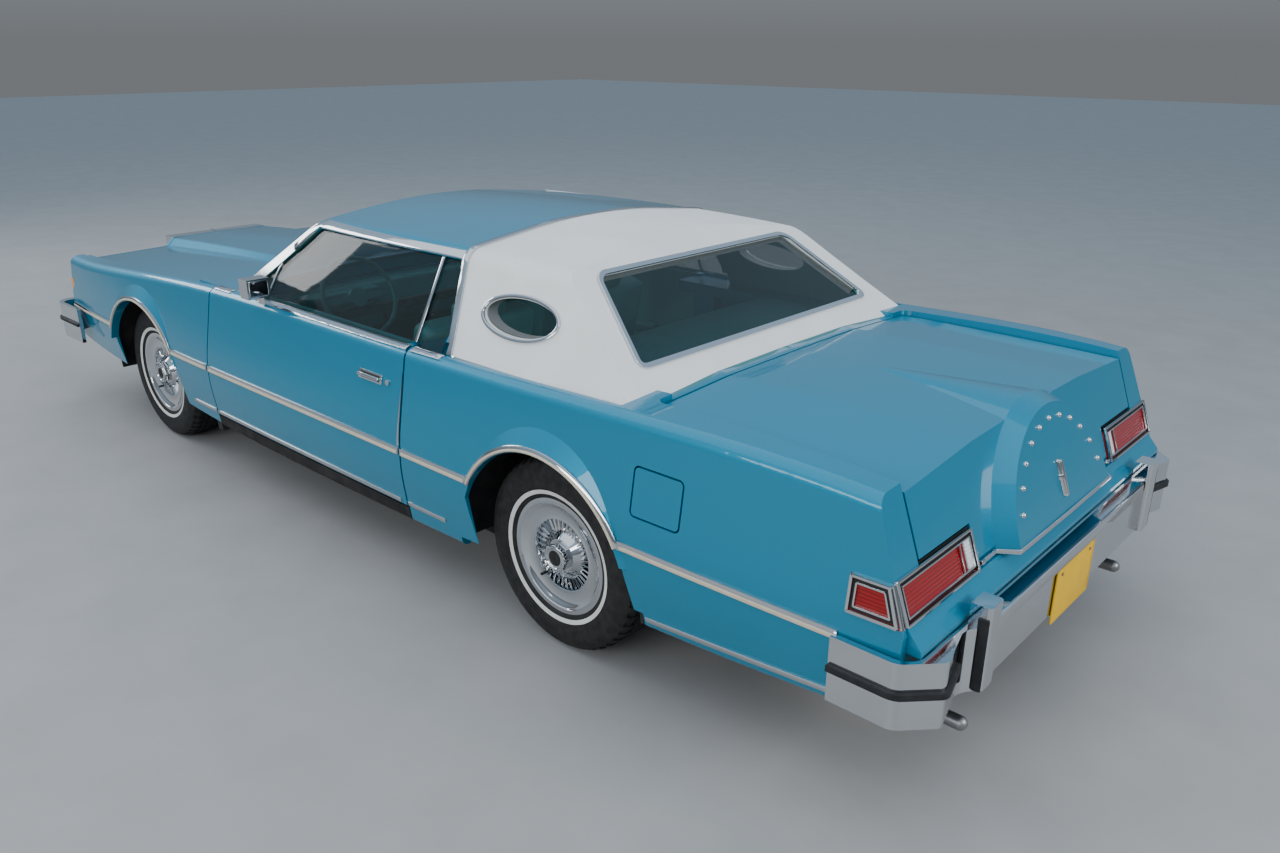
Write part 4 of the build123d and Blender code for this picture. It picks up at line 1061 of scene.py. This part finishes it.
mirrorAt = (0.3645, 0.907, 0.998, 0.988, 1.058)
uprightFrames = {  # plane, inner, outer, low and high; round, width, depth; edge, inside point, body, finish
    "mirror_glass": (mirrorAt, (0.008, 0, 0.0015), 0.0004, (1, 0.95, 1.02), "door_left", darkMirror),
    "mirror_rim": (mirrorAt, (0.008, 0.005, 0.004), 0.001, (1, 0.95, 1.02), "door_left", chrome),
    "cover_frame": ((2.6605, 0.338, 0.772, 0.575, 0.705), (0.006, 0.006, 0.003), 0.0008, (1, 0.5, 0.6),
                    "headlamp_cover_left", chrome),
    "parking_frame": ((2.6835, 0.849, 0.919, 0.569, 0.711), (0.004, 0.006, 0.006), 0.0012, (1, 0.88, 0.6),
                      "body", chrome),
}


def makeHandles():
    for name, material in (("plate", chrome), ("recess", trimRubber), ("grip", chrome)):
        rear, front, width, depth = handle[name]
        path = [mm(rear, far, handle["height"]), mm(front, far, handle["height"])]
        mirrored(moulding(f"door_handle_{name}_left", "door_left", path, width, depth, "door_left", material))
    place = mm(*handle["lock"], handle["height"])
    mirrored(rod("door_lock_left", place + Vector((0, -0.004, 0)), place + Vector((0, 0.007, 0)),
                 handle["lockRadius"], "door_left", chrome, 24))
    cuts = keepSpan("x", None, handle["edgeX"]) + keepSpan("z", handle["edgeLow"], handle["edgeHigh"])
    mirrored(skinStrip("door_edge_trim_left", "door_left", cuts, lambda c, n: n.y > 0.5, 0.003, 0.0008,
                       "door_left", chrome))


def makeFrames(*names):
    for name in names:
        place, shape, edge, inside, body, material = uprightFrames[name]
        mirrored(framed(name + "_left", upright(*place), *shape, body, material, inside, edge))


def makeRoofTrim():
    t = roofTrim
    path = [Vector(point) for point in t["seam"]]
    mirrored(moulding("vinyl_seam_left", "landau_roof", path, t["seamWidth"], t["depth"], "body", vinyl,
                      "nearest", (-1, 0, 0.9)))
    path = [Vector(point) for point in t["surround"]]
    moulding("windshield_surround", "roof", path, t["surroundWidth"], t["depth"], "body", chrome,
             "nearest", (0, 0, 0.8))
    for name, shift in (("left", 0), ("right", wiper["rightShift"])):
        first, last, foot = (Vector(wiper[key]) + Vector((0, shift, 0)) for key in ("first", "last", "foot"))
        middle = (first + last) / 2 + Vector(wiper["rise"])
        rod(f"wiper_blade_{name}", first, last, 0.0045, "body", trimRubber)
        rod(f"wiper_arm_{name}", foot, middle, 0.0035, "body", satinChrome)
        rod(f"wiper_foot_{name}", foot - Vector((0, 0, 0.014)), foot + Vector((0, 0, 0.006)), 0.010, "body",
            satinChrome)


# seats and cabin

pad = {"cuts": 22, "round": 0.035, "puff": 0.016, "seamDepth": 0.012, "seamWidth": 0.009, "grain": 0.0012,
       "fill": 0.8, "seams": (-0.2, -0.12, -0.04, 0.04, 0.12, 0.2), "noSeam": 9}
seat = {  # low and high x and z, with the inner and outer y between them, and the lean
    "base": (-0.145, 0.305, 0.19, 0.59, 0.2575, 0.372),
    "cushion": (-0.20, 0.352, 0.07, 0.655, 0.366, 0.478), "back": (-0.375, -0.245, 0.07, 0.655, 0.462, 0.935),
    "headrest": (-0.425, -0.335, 0.23, 0.49, 0.915, 0.998), "lean": -14,
    "rearCushion": (-0.945, -0.668, 0.015, 0.635, 0.362, 0.480),
    "rearBack": (-1.125, -1.025, 0.015, 0.635, 0.53, 0.895), "rearLean": -8,
}


def cushion(name, low, high, lean, seams, front="top"):  # a crowned pad with sewn channels
    low, high = Vector(low), Vector(high)
    half = (high - low) / 2
    toward, other = (2, 0) if front == "top" else (0, 2)
    piece = made(name, bpy.ops.mesh.primitive_cube_add, size=2)
    edit(piece)
    bpy.ops.mesh.subdivide(number_cuts=pad["cuts"])
    leaveEdit()
    radius = min(pad["round"], min(half) * 0.8)
    for vertex in piece.data.vertices:
        unit = vertex.co.copy()
        inner = Vector([unit[i] * half[i] for i in range(3)])
        core = Vector([max(radius - half[i], min(half[i] - radius, inner[i])) for i in range(3)])
        away = inner - core
        place = core + (away.normalized() * radius if away.length > 1e-6 else away)
        if unit[toward] > 0.4:
            swell = (1 - unit[other] ** 2) * (1 - unit.y ** 4) * pad["puff"]
            groove = max(math.exp(-((place.y - seam) / pad["seamWidth"]) ** 2) for seam in seams)
            place[toward] += swell - groove * pad["seamDepth"] * (1 - abs(unit[other]) ** 6)
            place[toward] += (random.random() - 0.5) * pad["grain"]
        vertex.co = place
    if lean:
        piece.data.transform(Matrix.Rotation(math.radians(lean), 4, "Y"))
    piece.data.transform(Matrix.Translation((low + high) / 2))
    piece.modifiers.new("finer", "SUBSURF").levels = 1
    applyAll(piece)
    finishPiece(piece, "body", upholstery, 60)
    return piece


def onSide(side, key):  # the two corners of a seat's block on one side of the car
    rear, front, inner, outer, low, high = seat[key]
    near, away = sorted((side * inner, side * outer))
    return (rear, near, low), (front, away, high)


def makeSeats():
    seams = pad["seams"]
    for side, name in sides:
        pieces = (
            boxed(f"front_seat_base_{name}", *onSide(side, "base"), 0.01, "body", interior),
            cushion(f"front_seat_cushion_{name}", *onSide(side, "cushion"), 0, seams),
            cushion(f"front_seat_back_{name}", *onSide(side, "back"), seat["lean"], seams, "front"),
            cushion(f"front_headrest_{name}", *onSide(side, "headrest"), seat["lean"], (pad["noSeam"],),
                    "front"),
        )
        for piece in pieces:
            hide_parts("front_seats")
        pieces = (
            cushion(f"rear_seat_cushion_{name}", *onSide(side, "rearCushion"), 0, seams),
            cushion(f"rear_seat_back_{name}", *onSide(side, "rearBack"), seat["rearLean"], seams, "front"),
        )
        for piece in pieces:
            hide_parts("rear_seat")


cabin = {"dashLean": -14, "dials": (0.245, 0.375, 0.505), "dialHeight": 0.818, "knobs": (-0.09, 0.09)}


def makeCabin():
    lean, height = cabin["dashLean"], cabin["dialHeight"]
    boxed("dash_strip", (0.676, -0.74, 0.715), (0.700, 0.74, 0.765), 0.004, "body", castMetal, lean,
          slotName="interior")
    boxed("dial_hood", (0.640, 0.17, 0.775), (0.74, 0.58, 0.862), 0.012, "body", interior)
    for k, y in enumerate(cabin["dials"]):
        rod(f"dial_{k + 1}", (0.6365, y, height), (0.645, y, height), 0.032, "body", satinChrome, 28)
        rod(f"dial_face_{k + 1}", (0.6355, y, height), (0.645, y, height), 0.028, "body", trimRubber, 28)
    boxed("radio_panel", (0.672, -0.13, 0.655), (0.694, 0.13, 0.705), 0.004, "body", trimRubber, lean)
    for k, y in enumerate(cabin["knobs"]):
        rod(f"radio_knob_{k + 1}", (0.660, y, 0.68), (0.674, y, 0.68), 0.011, "body", satinChrome, 20)
    rod("mirror_stem", (0.335, 0, 1.285), (0.315, 0, 1.232), 0.006, "body", satinChrome)
    boxed("inner_mirror", (0.300, -0.125, 1.190), (0.316, 0.125, 1.240), 0.006, "body", trimRubber)
    for side, name in sides:
        low, high = sorted((side * 0.772, side * 0.8325))
        boxed(f"armrest_{name}", (-0.36, low, 0.60), (0.34, high, 0.655), 0.016, "door_" + name, upholstery)
        low, high = sorted((side * 0.818, side * 0.8325))
        boxed(f"door_pull_{name}", (0.10, low, 0.735), (0.26, high, 0.757), 0.005, "door_" + name,
              satinChrome)


makeHandles()
makeFrames("mirror_glass", "mirror_rim")
makeRoofTrim()
makeFrames("cover_frame", "parking_frame")
makeSeats()
makeCabin()
print("handles, mirrors, front trim and cabin made")
